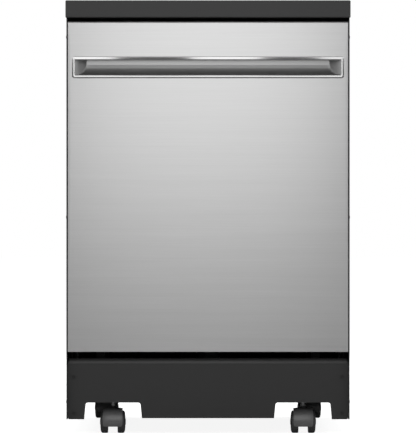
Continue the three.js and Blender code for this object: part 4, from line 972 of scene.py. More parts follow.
@dataclass(frozen=True)
class Caster:
    """One twin-wheel caster: stem, hood and two wheels."""

    name: str
    x: float
    y: float
    trail: float = 18
    axle: float = 24.7
    wheel: float = 24.7
    tread: Span = (10.6, 27.9)
    hood: float = 30.6
    hood_wall: float = 2.6
    band: float = 21.3
    hood_turn: Span = (-18, 118)
    hood_steps: int = 27
    hood_crown: Flat = (1.3, 0.8)
    web_half: float = 9.2

    def build(self) -> None:
        """Makes the caster's four pieces."""
        body = f"caster_{self.name}"
        self.make_hood(body)
        for side in ("left", "right"):
            self.make_wheel(f"{body}_wheel_{side}", side)
        profile = [(35, 3.4), (36, 4.2), (57.4, 4.2), (58, 4.9), (60, 5.3), (61.4, 5.1), (62, 4.2),
                   (63.4, 4.2), (64, 5.1), (65.4, 5.3), (67.4, 4.9), (68, 4.2), (104, 4.2), (108, 2.8)]
        pin = Form().turn(profile, (self.x, self.y, 0), Along.Z, 24)
        pin.piece(f"{body}_pin", BRIGHT_STEEL, "cabinet", [f"{body}_stem"])

    def shell(self) -> list[list[Vector]]:
        """Draws the hood's crowned shell, a section for each step from its front lip to its back.

        Returns:
            The sections.
        """
        across = (-1, -0.94, -0.8, -0.55, -0.2, 0.2, 0.55, 0.8, 0.94, 1)
        outside, inside = self.hood_crown
        rings = []
        for angle in evenly(*self.hood_turn, self.hood_steps + 1):
            turn = math.radians(180 - angle)
            width = self.band * (1 - 0.1 * max(0.0, (-4 - angle) / 14) ** 2)
            ring = [(width * s, self.hood - outside * abs(s) ** 6) for s in across]
            ring += [(width * s * 0.95, self.hood - self.hood_wall - inside * abs(s) ** 6)
                     for s in reversed(across)]
            rings.append([
                Vector((u, -self.trail + r * math.cos(turn), self.axle + r * math.sin(turn)))
                for u, r in ring
            ])
        return rings

    def make_hood(self, body: str) -> None:
        """Makes the hood: a crowned shell over both wheels, the web between them and the boss.

        Args:
            body: The body that it rides on.
        """
        boss = [(44, 17), (47, 15.8), (50, 13.2), (53, 11.2), (56, 10), (57, 9.2), (57, 4.7), (40, 4.7)]
        axle = [(-26.2, 2.6), (-25.4, 3.5), (25.4, 3.5), (26.2, 2.6)]
        disc = arc((0, 0), self.hood - 2, 22, 192, 24)
        web = [(u - self.trail, v + self.axle) for u, v in disc]
        form = Form().skin(self.shell())
        form.plate([web], Along.X, (-self.web_half, self.web_half), 0.8)
        form.turn(boss, (0, 0, 0), Along.Z, 32)
        form.turn(axle, (0, -self.trail, self.axle), Along.X, 20)
        form.move(Matrix.Translation((self.x, self.y, 0)))
        form.piece(f"{body}_cover", HOOD_PLASTIC, body, [f"{body}_hood"], crease=42)

    def make_wheel(self, node: str, side: str) -> None:
        """Makes one wheel.

        Args:
            node: The wheel's body and node name.
            side: Which side of the hood it runs on, left or right.
        """
        inner, outer = self.tread
        r = self.wheel
        tyre_profile = [
            (inner + 0.3, r - 4), (inner, r - 1.6), (inner + 0.8, r - 0.5), (inner + 3, r), (outer - 6, r),
            (outer - 4, r - 0.9), (outer - 2.5, r - 2.6), (outer - 1.7, r - 4.8), (outer - 1.3, r - 7.2),
            (outer - 2.4, r - 8.2), (inner + 1, r - 8.2)]
        hub_profile = [
            (inner + 0.4, 4), (inner + 0.4, r - 8.4), (outer - 2.2, r - 8.4), (outer - 1.2, r - 9.4),
            (outer - 1, r - 10.6), (outer - 2.6, r - 11.4), (outer - 3.2, 9.6), (outer - 2.4, 8),
            (outer - 0.5, 7), (outer, 5.8), (outer, 4)]
        centre = (0, 0, 0)
        tyre = Form().turn(tyre_profile, centre, Along.X, 64, loop=True)
        hub = Form().turn(hub_profile, centre, Along.X, 48, loop=True)
        hub.spokes((outer - 4, 6.8, -0.8), (outer - 1.6, r - 10.4, 0.8), 0.35, centre, Along.X,
                   range(0, 360, 60))
        for form, name, finish in ((tyre, "tyre", TREAD_RUBBER), (hub, "hub", DARK_PLASTIC)):
            if side == "left":
                form.mirror()
            form.move(Matrix.Translation((self.x, self.y - self.trail, self.axle)))
            form.piece(f"{node}_{name}", finish, node, [node])


# ---------------------------------------------------------------- door


@dataclass(frozen=True)
class Handle:
    """The pull pocket near the door's top: a bright frame, a dark seal round it as a painted shadow line, and
    a satin scoop with darker end walls as painted shade.
    """

    half: float = 293.4
    low: float = 770.6
    high: float = 816.4
    lip: float = 6.3
    side_lip: float = 5.9
    seat: float = -341.4
    face: float = -346.8
    door_face: float = -345
    depth: float = 27
    depth_pull: Flat = (13, 25)
    rise: float = 21
    rise_pull: Flat = (2, 9)
    floor: float = 5
    draft: float = 23
    steps: int = 16
    end_slope: float = 0.45
    brow: float = 0.33
    brow_reach: float = 5.5
    groove: float = 0.4

    def outline(self, inset: float, radius: float, low_rise: float = 0.0, high_rise: float = 0.0,
                side: float = 0.0) -> list[Flat]:
        """Draws the handle's outline drawn in by an inset.

        Args:
            inset: How far it is drawn in all round.
            radius: Its corner radius.
            low_rise: How far its low edge is raised further.
            high_rise: How far its high edge is raised.
            side: How far its ends are drawn in further.

        Returns:
            The outline.
        """
        wider = (self.lip - self.side_lip) * min(1.0, max(0.0, inset / self.lip))
        half = self.half - inset - side + wider
        return rounded((-half, half), (self.low + inset + low_rise, self.high - inset + high_rise), radius, 8)

    def build(self) -> None:
        """Makes the bright frame, the dark seal in the groove round it as a painted shadow line, and the
        scoop with its painted shade.
        """
        self.trim()
        self.seal()
        self.scoop()

    def trim(self) -> None:
        """Makes the frame: a rounded bead, with its high edge leaning in as a brow."""
        lip, face, inside = self.lip, self.face, self.door_face + 0.6
        profile = [(0, 4, 0, 1.3), (0.35, 3.8, 0, 0.75), (0.9, 3.5, 0, 0.4), (1.7, 3.1, 0, 0.12),
                   (2.6, 2.8, 0, 0), (3.8, 2.5, -0.6, 0), (4.8, 2.3, -0.6, 0.15), (5.5, 2.1, -0.4, 0.5),
                   (lip - 0.2, 2, -0.2, 1.1), (lip, 2, -0.1, 2)]
        stack = [(self.outline(0, 4), self.seat)]
        stack += [(self.outline(inset, r, 0, rise), face + behind) for inset, r, rise, behind in profile]
        stack += [(self.outline(lip, 2, 0, -0.1), inside), (self.outline(lip - 0.8, 2), inside),
                  (self.outline(lip - 0.8, 2), self.seat)]
        form = Form().layers(stack, Along.Y, loop=True)
        for vertex in form.mesh.verts:
            drop = self.high - vertex.co.z
            if 0 <= drop < self.brow_reach and vertex.co.y < self.door_face - 0.25:
                vertex.co.y = self.door_face - 0.15 - self.brow * drop
        form.piece("handle_frame", TRIM_STEEL, "door", ["handle_pocket"], crease=40)

    def seal(self) -> None:
        """Makes the dark seal that fills the groove between the frame and the door: a painted shadow line."""
        inner, outer = self.outline(0.2, 4), self.outline(-self.groove - 0.2, 4.8)
        proud = self.door_face + 0.35
        section = [(inner, proud + 2), (inner, proud), (outer, proud), (outer, proud + 2)]
        # The dark seal stands in for the groove's shadow: a painted shadow line.
        seal = Form().layers(section, Along.Y, loop=True)
        seal.piece("handle_seal", SEAL_RUBBER_AND_SHADOW_LINE, "door", ["handle_pocket"])

    def sections(self) -> Stack:
        """Draws the scoop's sections from its mouth to its back.

        Returns:
            Each section's outline with its depth.
        """
        lip, mouth = self.lip, self.door_face + 0.7
        stack = [(self.outline(lip - 0.9, 2), mouth), (self.outline(lip, 2, 0, -0.1), mouth)]
        for t in evenly(0, 1, self.steps + 1)[1:]:
            depth = ease(t, *self.depth_pull, self.depth)
            depth = self.floor * min(1.0, t * 8) + depth * (1 - self.floor / self.depth)
            top = 0.6 * min(1.0, depth / 6) - 0.1
            side = self.draft * (depth / self.depth) ** 0.9
            outline = self.outline(lip, 2 + 3.5 * t, ease(t, *self.rise_pull, self.rise), top, side)
            stack.append((outline, self.door_face + depth))
        back = self.outline(lip, 4, self.rise + 2.5, -1.4, self.draft + 1)
        stack.append((back, self.door_face + self.depth + 1))
        return stack

    def scoop(self) -> None:
        """Makes the scoop, its two end walls in a darker steel as painted shade, and the cup behind it."""
        stack = self.sections()
        # The end walls are split off from the scoop to take the darker steel that paints their shade.
        scoop, ends = Form(), Form()
        for form in (scoop, ends):
            form.layers(stack, Along.Y, ends=False)
            form.mesh.normal_update()
            other = [f for f in form.mesh.faces if (abs(f.normal.x) > self.end_slope) != (form is ends)]
            if form is scoop:
                form.close(len(stack[0][0]))
            bmesh.ops.delete(form.mesh, geom=other, context="FACES")
        cup, back = self.outline(self.lip - 1.4, 2), self.door_face + self.depth + 2
        scoop.layers([stack[0], (cup, self.door_face + 1.5), (cup, back),
                      (self.outline(self.lip + 6, 2), back + 0.1)], Along.Y, ends=False)
        scoop.piece("handle_scoop", SCOOP_STEEL, "door", ["handle_pocket"], crease=75)
        ends.piece("handle_scoop_ends", SCOOP_END_PAINTED_SHADE, "door", ["handle_pocket"], crease=75)


@dataclass(frozen=True)
class Door:
    """The door: steel pan, handle, control strip, buttons, liner, dispenser and latch."""

    half: float = 303.1
    low: float = 178.6
    high: float = 893.5
    face: float = -345
    back: float = -303
    sheet: float = 0.8
    roll: float = 0.7
    top_roll: float = 7.4
    crown: float = 6
    fold: float = 28.5
    handle: Handle = field(default_factory=Handle)
    strip_front: float = -331.2
    strip_low: float = 870.5
    strip_wall: float = 2.5
    button_y: float = -317.1
    buttons: Sequence[tuple[str, float]] = (("start", 70), ("cycle", 122), ("heated_dry", 174))
    light_step: float = 28
    liner_sheet: Span = (-302.7, -301.5)
    plug_u: Span = (-263, 263)
    plug_v: Span = (243, 866)
    plug_face: float = -285.3
    dispenser_hole: tuple[Span, Span] = ((-85.4, 85.4), (499.6, 650.4))
    latch_y: float = -322
    latch_z: float = 882
    latch_tip: float = -270

    def build(self) -> None:
        """Makes every piece of the door."""
        self.pan()
        self.handle.build()
        self.control_strip()
        self.liner()
        Dispenser().build()
        self.latch()
        for side in ("left", "right"):
            carry_over(f"{side}_hinge_arm", ZINC, 0.5)
        carry_over("control_board", DARK_PLASTIC, 0.6)

    def outline(self, inset: float, radius: float) -> list[Flat]:
        """Draws the door's outline drawn in by an inset, and by more at its top."""
        return rounded((inset - self.half, self.half - inset),
                       (self.low + inset, self.high - inset * self.top_roll), radius, 8)

    def opening(self, grow: float) -> list[Flat]:
        """Draws the handle's opening, with a groove and a little more round the handle."""
        return self.handle.outline(-self.handle.groove - grow, 4.6)

    def pan(self) -> None:
        """Makes the steel pan with rolled edges and the handle's opening, and its folded sides."""
        r, s, low, fold = self.roll, self.sheet, self.low, self.back - self.fold
        turns = [math.radians(a) for a in (0, 15, 30, 45, 60, 75, 90)]
        rolled = [(self.outline(r * (1 - math.sin(a)), r), self.face + r * (1 - math.cos(a))) for a in turns]
        form = Form()
        form.layers([(self.opening(0), self.face + s), (self.opening(0), self.face + 0.15),
                     (self.opening(0.15), self.face), *rolled,
                     (self.outline(0, r), fold), (self.outline(s, r), fold),
                     (self.outline(s, r), self.face + r), (self.outline(r, r), self.face + s)],
                    Along.Y, loop=True)
        roll_low = self.high - r * self.top_roll - 0.01
        for vertex in form.mesh.verts:
            behind = vertex.co.y - self.face
            if vertex.co.z > roll_low and 0.001 < behind < r + 0.01:
                vertex.co.y = self.face + behind * self.crown / r
        form.piece("door_pan", DOOR_STEEL, "door", ["door_outer_panel"], crease=40)
        side = rounded((fold, self.back), (low + 1, self.strip_low - 0.5), 1)
        folds = Form().both(Form().plate([side], Along.X, (self.half - s, self.half), 0.25))
        folds.block((-self.half + 1, fold, low), (self.half - 1, self.back, low + s), 0.3)
        folds.piece("door_pan_folds", DOOR_STEEL, "door", ["door_outer_panel"])

    def control_strip(self) -> None:
        """Makes the strip along the door's top edge, with its lights and buttons."""
        half, top, y, wall = self.half, self.high, self.button_y, self.strip_wall
        front, back, low = self.strip_front, self.back, self.strip_low
        lights = [x + self.light_step for _, x in self.buttons]
        holes = [rounded((x - 12.4, x + 12.4), (y - 5.9, y + 5.9), 3.2, 6) for _, x in self.buttons]
        holes += [circle((x, y), 1.3, 16) for x in lights]
        strip = Form()
        strip.plate([rounded((-half, half), (front, back), 1.5), *holes], Along.Z, (top - wall, top), 0.5)
        strip.block((-half, front, low), (half, front + wall, top - 1), 0.5)
        for near, far in ((-half, -12), (12, half)):
            strip.block((near, back - wall, low), (far, back, top - 1), 0.5)
        strip.both(Form().block((half - wall, front + 0.4, low), (half, back - 0.4, top - 1), 0.5))
        strip.piece("control_strip", DARK_PLASTIC, "door", ["control_fascia"])
        lamps = Form()
        for x in lights:
            lamps.turn([(top - 4, 1.1), (top - 0.5, 1.1), (top - 0.1, 0.6)], (x, y, 0), Along.Z, 16)
        lamps.piece("control_lights", CAP_PLASTIC, "door")
        profile = [(0.3, -6), (0, -5.6), (0, 0.3), (0.25, 0.75), (0.8, 1), (1.6, 0.9), (3, 0.55), (4.4, 0.45)]
        for name, x in self.buttons:
            cap = Form().layers([(drawn_in((x - 12, x + 12), (y - 5.5, y + 5.5), inset, 3 - inset * 0.6),
                                  top + rise) for inset, rise in profile], Along.Z)
            cap.piece(f"{name}_cap", CAP_PLASTIC, f"{name}_button", [f"{name}_button"], crease=50)

    def plug(self, inset: float, radius: float) -> list[Flat]:
        """Draws the inner door's plug drawn in by an inset."""
        return drawn_in(self.plug_u, self.plug_v, inset, radius)

    def liner(self) -> None:
        """Makes the inner door: a flat rim and a pressed plug with the dispenser's opening."""
        rim, face = self.liner_sheet[1], self.plug_face
        half, low, high = self.half - 0.4, self.low + 1, self.high - 1
        right = [(286, low), (half, low), (half, 204), (288, 204), (288, 263), (half, 263), (half, high),
                 (10, high), (10, 876)]
        pressed = [(-4.3, 30, rim - 0.3), (-2, 28, rim + 0.3), (-0.6, 27, rim + 1.8), (0, 26, rim + 4),
                   (0.4, 26, -289.5), (1.4, 25, -286.8), (3.6, 24, -285.5), (6, 22, face),
                   (24, 16, face), (26, 15, -285.7), (30, 13, -287.3), (33, 12, -287.6)]
        stack = [(self.plug(inset, radius), y) for inset, radius, y in pressed]
        hole = rounded(*self.dispenser_hole, 4, 8)
        form = Form()
        form.plate([mirrored(right), self.plug(-4, 30)], Along.Y, self.liner_sheet, 0.3)
        form.layers(stack, Along.Y, ends=False)
        form.layers([stack[-1], (hole, -287.6), (hole, -289.5)], Along.Y, ends=False)
        form.piece("door_liner_sheet", LINER_STEEL, "door", ["door_liner"], crease=50)

    def latch(self) -> None:
        """Makes the latch hook and its pin."""
        y, z, tip = self.latch_y, self.latch_z, self.latch_tip
        under = z + 2.8
        shape = arc((y, z - 0.6), 4.6, 270, 180, 5)
        shape += [(y - 4.6, under + 2.9), (y - 4, under + 3.5), (tip - 2, under + 3.5), (tip, under + 1.5),
                  (tip, under - 3.8), (tip - 3, under - 3.4), (tip - 3, under), (y + 9, under),
                  (y + 5, z - 1), (y + 4, z - 4)]
        hook = Form().plate([shape, circle((y, z - 0.4), 2.1, 20)], Along.X, (-5.6, 5.6), 0.5)
        hook.piece("latch_tongue", BRIGHT_STEEL, "latch_hook", ["latch_hook"])
        pin = Form().turn([(-8, 1.6), (-7.6, 2), (7.6, 2), (8, 1.6)], (0, y, z - 0.4), Along.X, 20)
        pin.piece("latch_pin", BRIGHT_STEEL, "door")


@dataclass(frozen=True)
class Dispenser:
    """The detergent cup with its sliding lid, and the rinse-aid cap."""

    u: Span = (-85, 85)
    v: Span = (500, 650)
    back: float = -283.5
    cup_u: Span = (-68, -6)
    cup_v: Span = (574, 636)
    cap: Flat = (45, 600)

    def build(self) -> None:
        """Makes the body, the lid and the cap."""
        self.body()
        self.lid()
        self.knob()

    def outer(self, inset: float, radius: float) -> list[Flat]:
        """Draws the body's outline drawn in by an inset."""
        return drawn_in(self.u, self.v, inset, radius)

    def cup(self, inset: float) -> list[Flat]:
        """Draws the detergent cup's outline drawn in by an inset."""
        return drawn_in(self.cup_u, self.cup_v, inset, 8)

    def body(self) -> None:
        """Makes the body: its face with the cup and the cap's well, its box, guides and ribs."""
        back = self.back
        low, high = self.v
        x, z = self.cap
        rim = [(0, 4, -6), (0, 4, -2.4), (0.4, 4, -1.6), (1.4, 5, -1.2)]
        box = [(0.2, 4, -6), (3, 4, -38), (6, 4, -40)]
        cup = [(-0.8, -1), (0.2, -1.4), (1, -20), (3, -23), (6, -24)]
        face = [self.outer(1.2, 6), self.cup(-0.6), circle((x, z), 19, 40)]
        form = Form().plate(face, Along.Y, (back - 3, back), 0.6)
        form.layers([(self.outer(inset, r), back + y) for inset, r, y in rim], Along.Y, ends=False)
        form.layers([(self.cup(inset), back + y) for inset, y in cup], Along.Y, ends=False)
        form.close(len(self.cup(0)))
        form.turn([(-1, 19.2), (-1.6, 18.6), (-3.4, 18.2), (-3.6, 1)], (x, back, z), Along.Y, 40)
        form.layers([(self.outer(inset, r), back + y) for inset, r, y in box], Along.Y)
        middle = sum(self.cup_u) / 2
        for guide in (middle - 38.2, middle + 38.2):
            form.block((guide - 1, back - 0.5, low + 10), (guide + 1, back + 2.4, high - 8), 0.5)
        for rib in evenly(20, 60, 5):
            form.block((rib, back - 0.4, 530), (rib + 4, back + 0.7, 552), 0.3)
        form.piece("dispenser_body", GREY_PLASTIC, "door", ["dispenser"])

    def lid(self) -> None:
        """Makes the sliding lid with its finger ribs."""
        back = self.back
        x, z = sum(self.cup_u) / 2, sum(self.cup_v) / 2
        u, v = (x - 36.5, x + 36.5), (z - 35, z + 35)
        profile = [(0.4, 0.3), (0, 0.8), (0, 2.2), (0.6, 3), (2, 3.3), (6, 3.3), (7, 2.7), (8.5, 2.6)]
        form = Form().layers([(drawn_in(u, v, inset, 6), back + y) for inset, y in profile], Along.Y)
        for k in range(4):
            rib = z - 27 + 4.2 * k
            form.block((x - 18, back + 2.4, rib), (x + 18, back + 6.1 - 0.9 * k, rib + 2.2), 0.8)
        form.piece("dispenser_slide_lid", GREY_PLASTIC, "dispenser_lid", ["dispenser_lid"])

    def knob(self) -> None:
        """Makes the rinse-aid cap with its grip."""
        x, z = self.cap
        disc = [(0.3, 16), (0.5, 17), (2.4, 17), (3.2, 16.2), (3.3, 14), (2.6, 13), (2.6, 1)]
        grip = [(14, 2.6, 2.4, 2.2), (14, 2.2, 2.1, 5.6), (13, 1.3, 1.2, 6.6)]
        form = Form().turn(disc, (x, self.back, z), Along.Y, 48)
        form.layers([(rounded((x - u, x + u), (z - v, z + v), r, 5), self.back + y) for u, v, r, y in grip],
                    Along.Y)
        form.piece("rinse_aid_knob", DARK_PLASTIC, "rinse_aid_cap", ["rinse_aid_cap"])


# ---------------------------------------------------------------- tub and its fittings


@dataclass(frozen=True)
class Tub:
    """The steel tub, its seal and what is fixed in it."""

    half: float = 281
    low: float = 238.2
    high: float = 874
    front: float = -290.5
    back: float = 272
    wall: float = 1.5
    corner: float = 30
    back_corner: float = 10
    bead: float = 2.2
    side_beads: Sequence[float] = (430, 500, 735, 800)
    top_beads: Sequence[float] = (200, 120, -120, -200)
    sump_hole: float = 88.4
    filter_at: Solid = (52, -5, 0)
    float_at: Solid = (-200, -220, 0)

    def build(self) -> None:
        """Makes the tub, the seal and the fittings."""
        self.shell()
        self.flange()
        self.seal()
        self.rails()
        self.sump()
        self.filter()
        self.float_dome()
        self.heater()
        self.conduit()
        for node in ("circulation_pump", "drain_pump", "inlet_valve"):
            carry_over(node, DARK_PLASTIC, 1.0)

    def section(self, inset: float, bead: float = 0.0) -> list[Flat]:
        """Draws the tub's section, with stamped beads along its walls and ceiling.

        Args:
            inset: How far it is drawn in.
            bead: How far the beads stand in.

        Returns:
            The section's outline, always with the same number of points.
        """
        r = self.corner - inset
        half, low, high = self.half - inset, self.low + inset, self.high - inset
        rise: list[Flat] = []
        for z in self.side_beads:
            rise += [(0, z - 9), (bead * 0.5, z - 5), (bead, z), (bead * 0.5, z + 5), (0, z + 9)]
        cross: list[Flat] = []
        for x in self.top_beads:
            cross += [(x + 10, 0), (x + 5, bead * 0.5), (x, bead), (x - 5, bead * 0.5), (x - 10, 0)]
        points = arc((half - r, low + r), r, -90, 0, 8) + [(half - d, z) for d, z in rise]
        points += arc((half - r, high - r), r, 0, 90, 8) + [(x, high - d) for x, d in cross]
        points += arc((r - half, high - r), r, 90, 180, 8) + [(d - half, z) for d, z in reversed(rise)]
        return points + arc((r - half, low + r), r, 180, 270, 8)

    def shell(self) -> None:
        """Makes the shell with its beads and the sump's hole in its floor."""
        w, r, front, back, deep = self.wall, self.back_corner, self.front, self.back, self.bead
        half, floor_back = self.half - self.corner, back - 40
        inner = [(0, front), (0, front + 28), (deep, front + 48), (deep, back - 60), (0, floor_back)]
        stack = [(self.section(w, bead), y) for bead, y in inner]
        for lean in (math.radians(a) for a in (15, 35, 55, 75, 90)):
            stack.append((self.section(w + r * (1 - math.cos(lean))), back - w - r + r * math.sin(lean)))
        form = Form().layers(stack, Along.Y, ends=False)
        form.cover(self.section(w + r), Along.Y, back - w)
        form.layers([(self.section(0), front), (self.section(0), floor_back), (self.section(0), back - r),
                     (self.section(3), back - 3), (self.section(r), back)], Along.Y, ends=False)
        flat = [face for face in form.mesh.faces if all(
            abs(v.co.x) < half + 0.1 and v.co.y < floor_back + 0.1 and v.co.z < self.low + w + 0.1
            for v in face.verts)]
        bmesh.ops.delete(form.mesh, geom=flat, context="FACES")
        floor = rounded((-half, half), (front, floor_back), 0.2, 1)
        form.plate([floor, circle(SPRAY_LINE, self.sump_hole, 64)], Along.Z, (self.low, self.low + w))
        form.cover(self.section(r), Along.Y, back)
        form.piece("tub_shell", TUB_STEEL, "cabinet", ["tub"], crease=50)

    def flange(self) -> None:
        """Makes the front flange, and the sump's seat ring with the latch's strike."""
        w, r = self.wall, self.sump_hole
        right = [(284, self.low), (284, 277), (301, 277), (301, 889), (10, 889), (10, 878)]
        rim = Form().plate([mirrored(right), self.section(w)], Along.Y, (self.front - w, self.front), 0.4)
        rim.piece("tub_flange", TUB_STEEL, "cabinet", ["tub"])
        ring = Form().turn([(0, r + 9), (1.1, r + 8), (1.5, r + 4), (0.9, r), (0, r)],
                           (*SPRAY_LINE, self.low + w), Along.Z, 64, loop=True)
        ring.block((-9, -278, 872), (9, -275, 879), 0.6)
        ring.piece("sump_seat_ring", TUB_STEEL, "cabinet", ["tub"])

    def seal(self) -> None:
        """Makes the rubber seal round the mouth: a foot with a round bulb."""
        half, foot, head, r = 283.5, 246, 876.5, 30
        path = [(half, foot), *arc((half - r, head - r), r, 0, 90, 10),
                *arc((r - half, head - r), r, 90, 180, 10), (-half, foot)]
        section = [(-4.8, 9.4), (4.8, 9.4), (4.8, 6.6), (3.2, 5.6), (4.6, 3.2), (3.6, 0.9), (1.4, 0),
                   (-1.4, 0.2), (-3.8, 1.4), (-4.9, 4), (-4.2, 6.4)]
        rings = []
        for i, (x, z) in enumerate(path):
            before, after = path[max(i - 1, 0)], path[min(i + 1, len(path) - 1)]
            ahead = Vector((after[0] - before[0], 0, after[1] - before[1])).normalized()
            out = Vector((ahead.z, 0, -ahead.x))
            rings.append([Vector((x, -300.3 + d, z)) + out * s for s, d in section])
        Form().skin(rings).piece("tub_seal", SEAL_RUBBER_AND_SHADOW_LINE, "cabinet", ["tub_gasket"], crease=60)

    def rails(self) -> None:
        """Makes the two rails of the upper rack, each a channel with a stop and two rivets."""
        shape = [(279.2, 624), (279.2, 646), (269.4, 646), (268.2, 644.8), (268.2, 640.5), (269.6, 640.5),
                 (270, 644.4), (277.8, 644.4), (277.8, 625.6), (270, 625.6), (269.6, 629.5), (268.2, 629.5),
                 (268.2, 625.2), (269.4, 624)]
        for name in ("left", "right"):
            form = Form().skin([[Vector((x, y, z)) for x, z in shape] for y in (-262, 226)])
            form.block((269, 223.5, 626), (278, 226, 644), 0.4)
            for y in (-200, 170):
                form.turn([(0, 5.4), (-1.2, 5), (-1.6, 2.4)], (277.8, y, 635), Along.X, 20)
            if name == "left":
                form.mirror()
            form.piece(f"{name}_rail_channel", BRIGHT_STEEL, "cabinet", [f"{name}_rack_rail"], edge=0.3)

    def sump(self) -> None:
        """Makes the sump with its necks for the pumps and its ribbed grate."""
        at = (*SPRAY_LINE, 0)
        bowl = [(239.7, 88), (238, 88), (200, 86), (176, 80), (172, 70), (172, 40), (180, 38), (184, 60),
                (190, 76), (214, 82), (236, 84), (239.9, 84.4)]
        grate = [(233, 84), (235.5, 80), (240.5, 34), (244, 24), (250, 20.6), (256, 20), (258, 18.6),
                 (258, 11.4), (274, 10.8), (275, 9.8)]
        form = Form().turn(bowl, at, Along.Z, 64, loop=True)
        form.turn([(106, 24), (112, 26), (171, 26), (174, 42), (176, 42)], at, Along.Z, 48)
        form.turn(grate, at, Along.Z, 64)
        for reach, size, step in ((90, 16, 1), (-60, 10, -1)):
            neck = [(0, size), (reach - 6 * step, size), (reach - 6 * step, size + 1.4),
                    (reach - 3 * step, size + 1.4), (reach, size)]
            form.turn(neck, (*SPRAY_LINE, 128), Along.X, 32)
        form.spokes((38, -0.9, 234), (80, 0.9, 241.3), 0.4, at, Along.Z, range(20, 350, 10))
        form.piece("sump_bowl", GREY_PLASTIC, "cabinet", ["sump"], crease=40)

    def filter(self) -> None:
        """Makes the filter's ribbed cup with its grip."""
        wall = [(192, 24), (192, 25.4), (238, 25.4), (239, 27), (246, 27), (247, 26), (246.5, 24.6),
                (243, 22), (196, 20), (195, 4)]
        grip = [((26.5, 77.5), (-8, -2), 2.6, 241), ((27, 77), (-7.6, -2.4), 2.4, 251),
                ((28.5, 75.5), (-6.4, -3.6), 1.3, 254)]
        cup = Form().turn(wall, self.filter_at, Along.Z, 48)
        cup.layers([(rounded(u, v, r, 5), z) for u, v, r, z in grip], Along.Z)
        cup.spokes((25, -0.8, 197), (26.6, 0.8, 238), 0.3, self.filter_at, Along.Z, range(0, 360, 18))
        cup.piece("filter_cup", DARK_PLASTIC, "filter", ["filter"])

    def float_dome(self) -> None:
        """Makes the float's dome on its stem."""
        cap = [(242.7, 20.2), (243.2, 21), (250, 20.8), (257, 19.4), (258.5, 18), (258.9, 15.4), (261, 14.8),
               (264.5, 13), (266.2, 10), (266.7, 5), (266.7, 1)]
        dome = Form().turn(cap, self.float_at, Along.Z, 48)
        dome.turn([(226.9, 3), (227.4, 3.6), (243, 3.6)], self.float_at, Along.Z, 20)
        dome.piece("float_cap", GREY_PLASTIC, "float_dome", ["float_dome"], crease=50)

    def heater(self) -> None:
        """Makes the heating rod, bent round the tub's floor."""
        foot, side, front, back, high = 30, 175, -170, 190, 250
        corners = [(-foot, back, 212), (-foot, back, high), (-side, back, high), (-side, front, high),
                   (side, front, high), (side, back, high), (foot, back, high), (foot, back, 212)]
        form = Form().tube(bent(corners, (7, 26, 26, 26, 26, 7)), 4, 14)
        for x in (-foot, foot):
            form.turn([(239.9, 9), (241.5, 9), (243.5, 6.2), (246, 5)], (x, back, 0), Along.Z, 24)
        form.piece("heating_rod", BRIGHT_STEEL, "cabinet", ["heating_element"], crease=50)

    def conduit(self) -> None:
        """Makes the feed duct up the back wall and along the ceiling, with its port and nozzle."""
        nozzle = [(865.8, 26), (865.8, 34), (858, 34), (852, 31), (847, 24), (844.6, 14), (844, 4)]
        port = [(258.9, 18), (256, 17.4), (251, 16), (247, 16), (246.4, 15), (246.4, 12.5), (250, 12),
                (250, 2)]
        jets = ([(845.6, 2.6), (844.2, 2.2)], [(844.2, 2.6), (843.2, 2.2)])
        form = Form().block((-18, 258.2, 240), (18, 270.2, 866), 3.5, 3)
        form.block((-18, -5, 854.2), (18, 268, 865.8), 3.5, 3)
        form.turn(nozzle, (*SPRAY_LINE, 0), Along.Z, 48)
        form.turn(port, (0, 0, 566), Along.Y, 40)
        for z in (330, 450, 700, 800):
            form.block((-21, 262, z), (21, 270.2, z + 12), 2)
        for k, (x, y) in enumerate(circle(SPRAY_LINE, 20, 8)):
            form.turn(jets[k % 2], (x, y, 1.6), Along.Z, 12)
        form.piece("spray_duct", GREY_PLASTIC, "cabinet", ["spray_conduit"], crease=40)


# ---------------------------------------------------------------- spray arms


@dataclass(frozen=True)
class SprayArm:
    """A moulded spray arm: two tapered blades on a round hub."""

    node: str
    reach: float
    low: float
    root: float
    tip: float
    thickness: float
    hub: Sequence[Flat]
    sections: int = 40
    jets: int = 6

    def build(self) -> None:
        """Makes the arm with its crowned blades, jets and hub."""
        form = Form().skin([self.section(s) for s in evenly(-1, 1, self.sections + 1)])
        for side in (-1, 1):
            for k in range(self.jets):
                share = 0.28 + 0.12 * k
                top = self.low + self.high(share)
                y = (-1) ** k * self.tip * 0.3 * side
                form.turn([(top - 1, 4.2), (top + 0.2, 3.8), (top + 0.2, 2.2), (top - 0.8, 1.4)],
                          (side * share * self.reach, y, 0), Along.Z, 16)
        form.turn(self.hub, (0, 0, 0), Along.Z, 48, loop=True)
        form.move(Matrix.Translation((*SPRAY_LINE, 0)))
        form.piece(f"{self.node}_blades", GREY_PLASTIC, self.node, [self.node], crease=42)

    def high(self, near: float) -> float:
        """Gives the blade's thickness at a share of its reach."""
        return self.thickness * (1 - 0.22 * near)

    def section(self, share: float) -> list[Vector]:
        """Draws one section of the blades.

        Args:
            share: How far along the arm, -1 at its left tip to 1 at its right tip.

        Returns:
            The section's points.
        """
        x = self.reach * math.sin(share * math.pi / 2)
        near = abs(x) / self.reach
        w = self.root + (self.tip - self.root) * min(1.0, near * 1.15)
        left = self.reach - abs(x)
        if left < self.tip:
            w = math.sqrt(max(self.tip**2 - (self.tip - left) ** 2, 4.0)) * (w / self.tip)
        w, high = min(w, self.root), self.high(near)
        shape = [(-w, 2.5), (-w * 0.97, 0.8), (-w * 0.85, 0), (w * 0.85, 0), (w * 0.97, 0.8), (w, 2.5),
                 (w * 0.96, high * 0.62), (w * 0.75, high * 0.9), (w * 0.4, high), (-w * 0.4, high),
                 (-w * 0.75, high * 0.9), (-w * 0.96, high * 0.62)]
        return [Vector((x, y, self.low + z)) for y, z in shape]


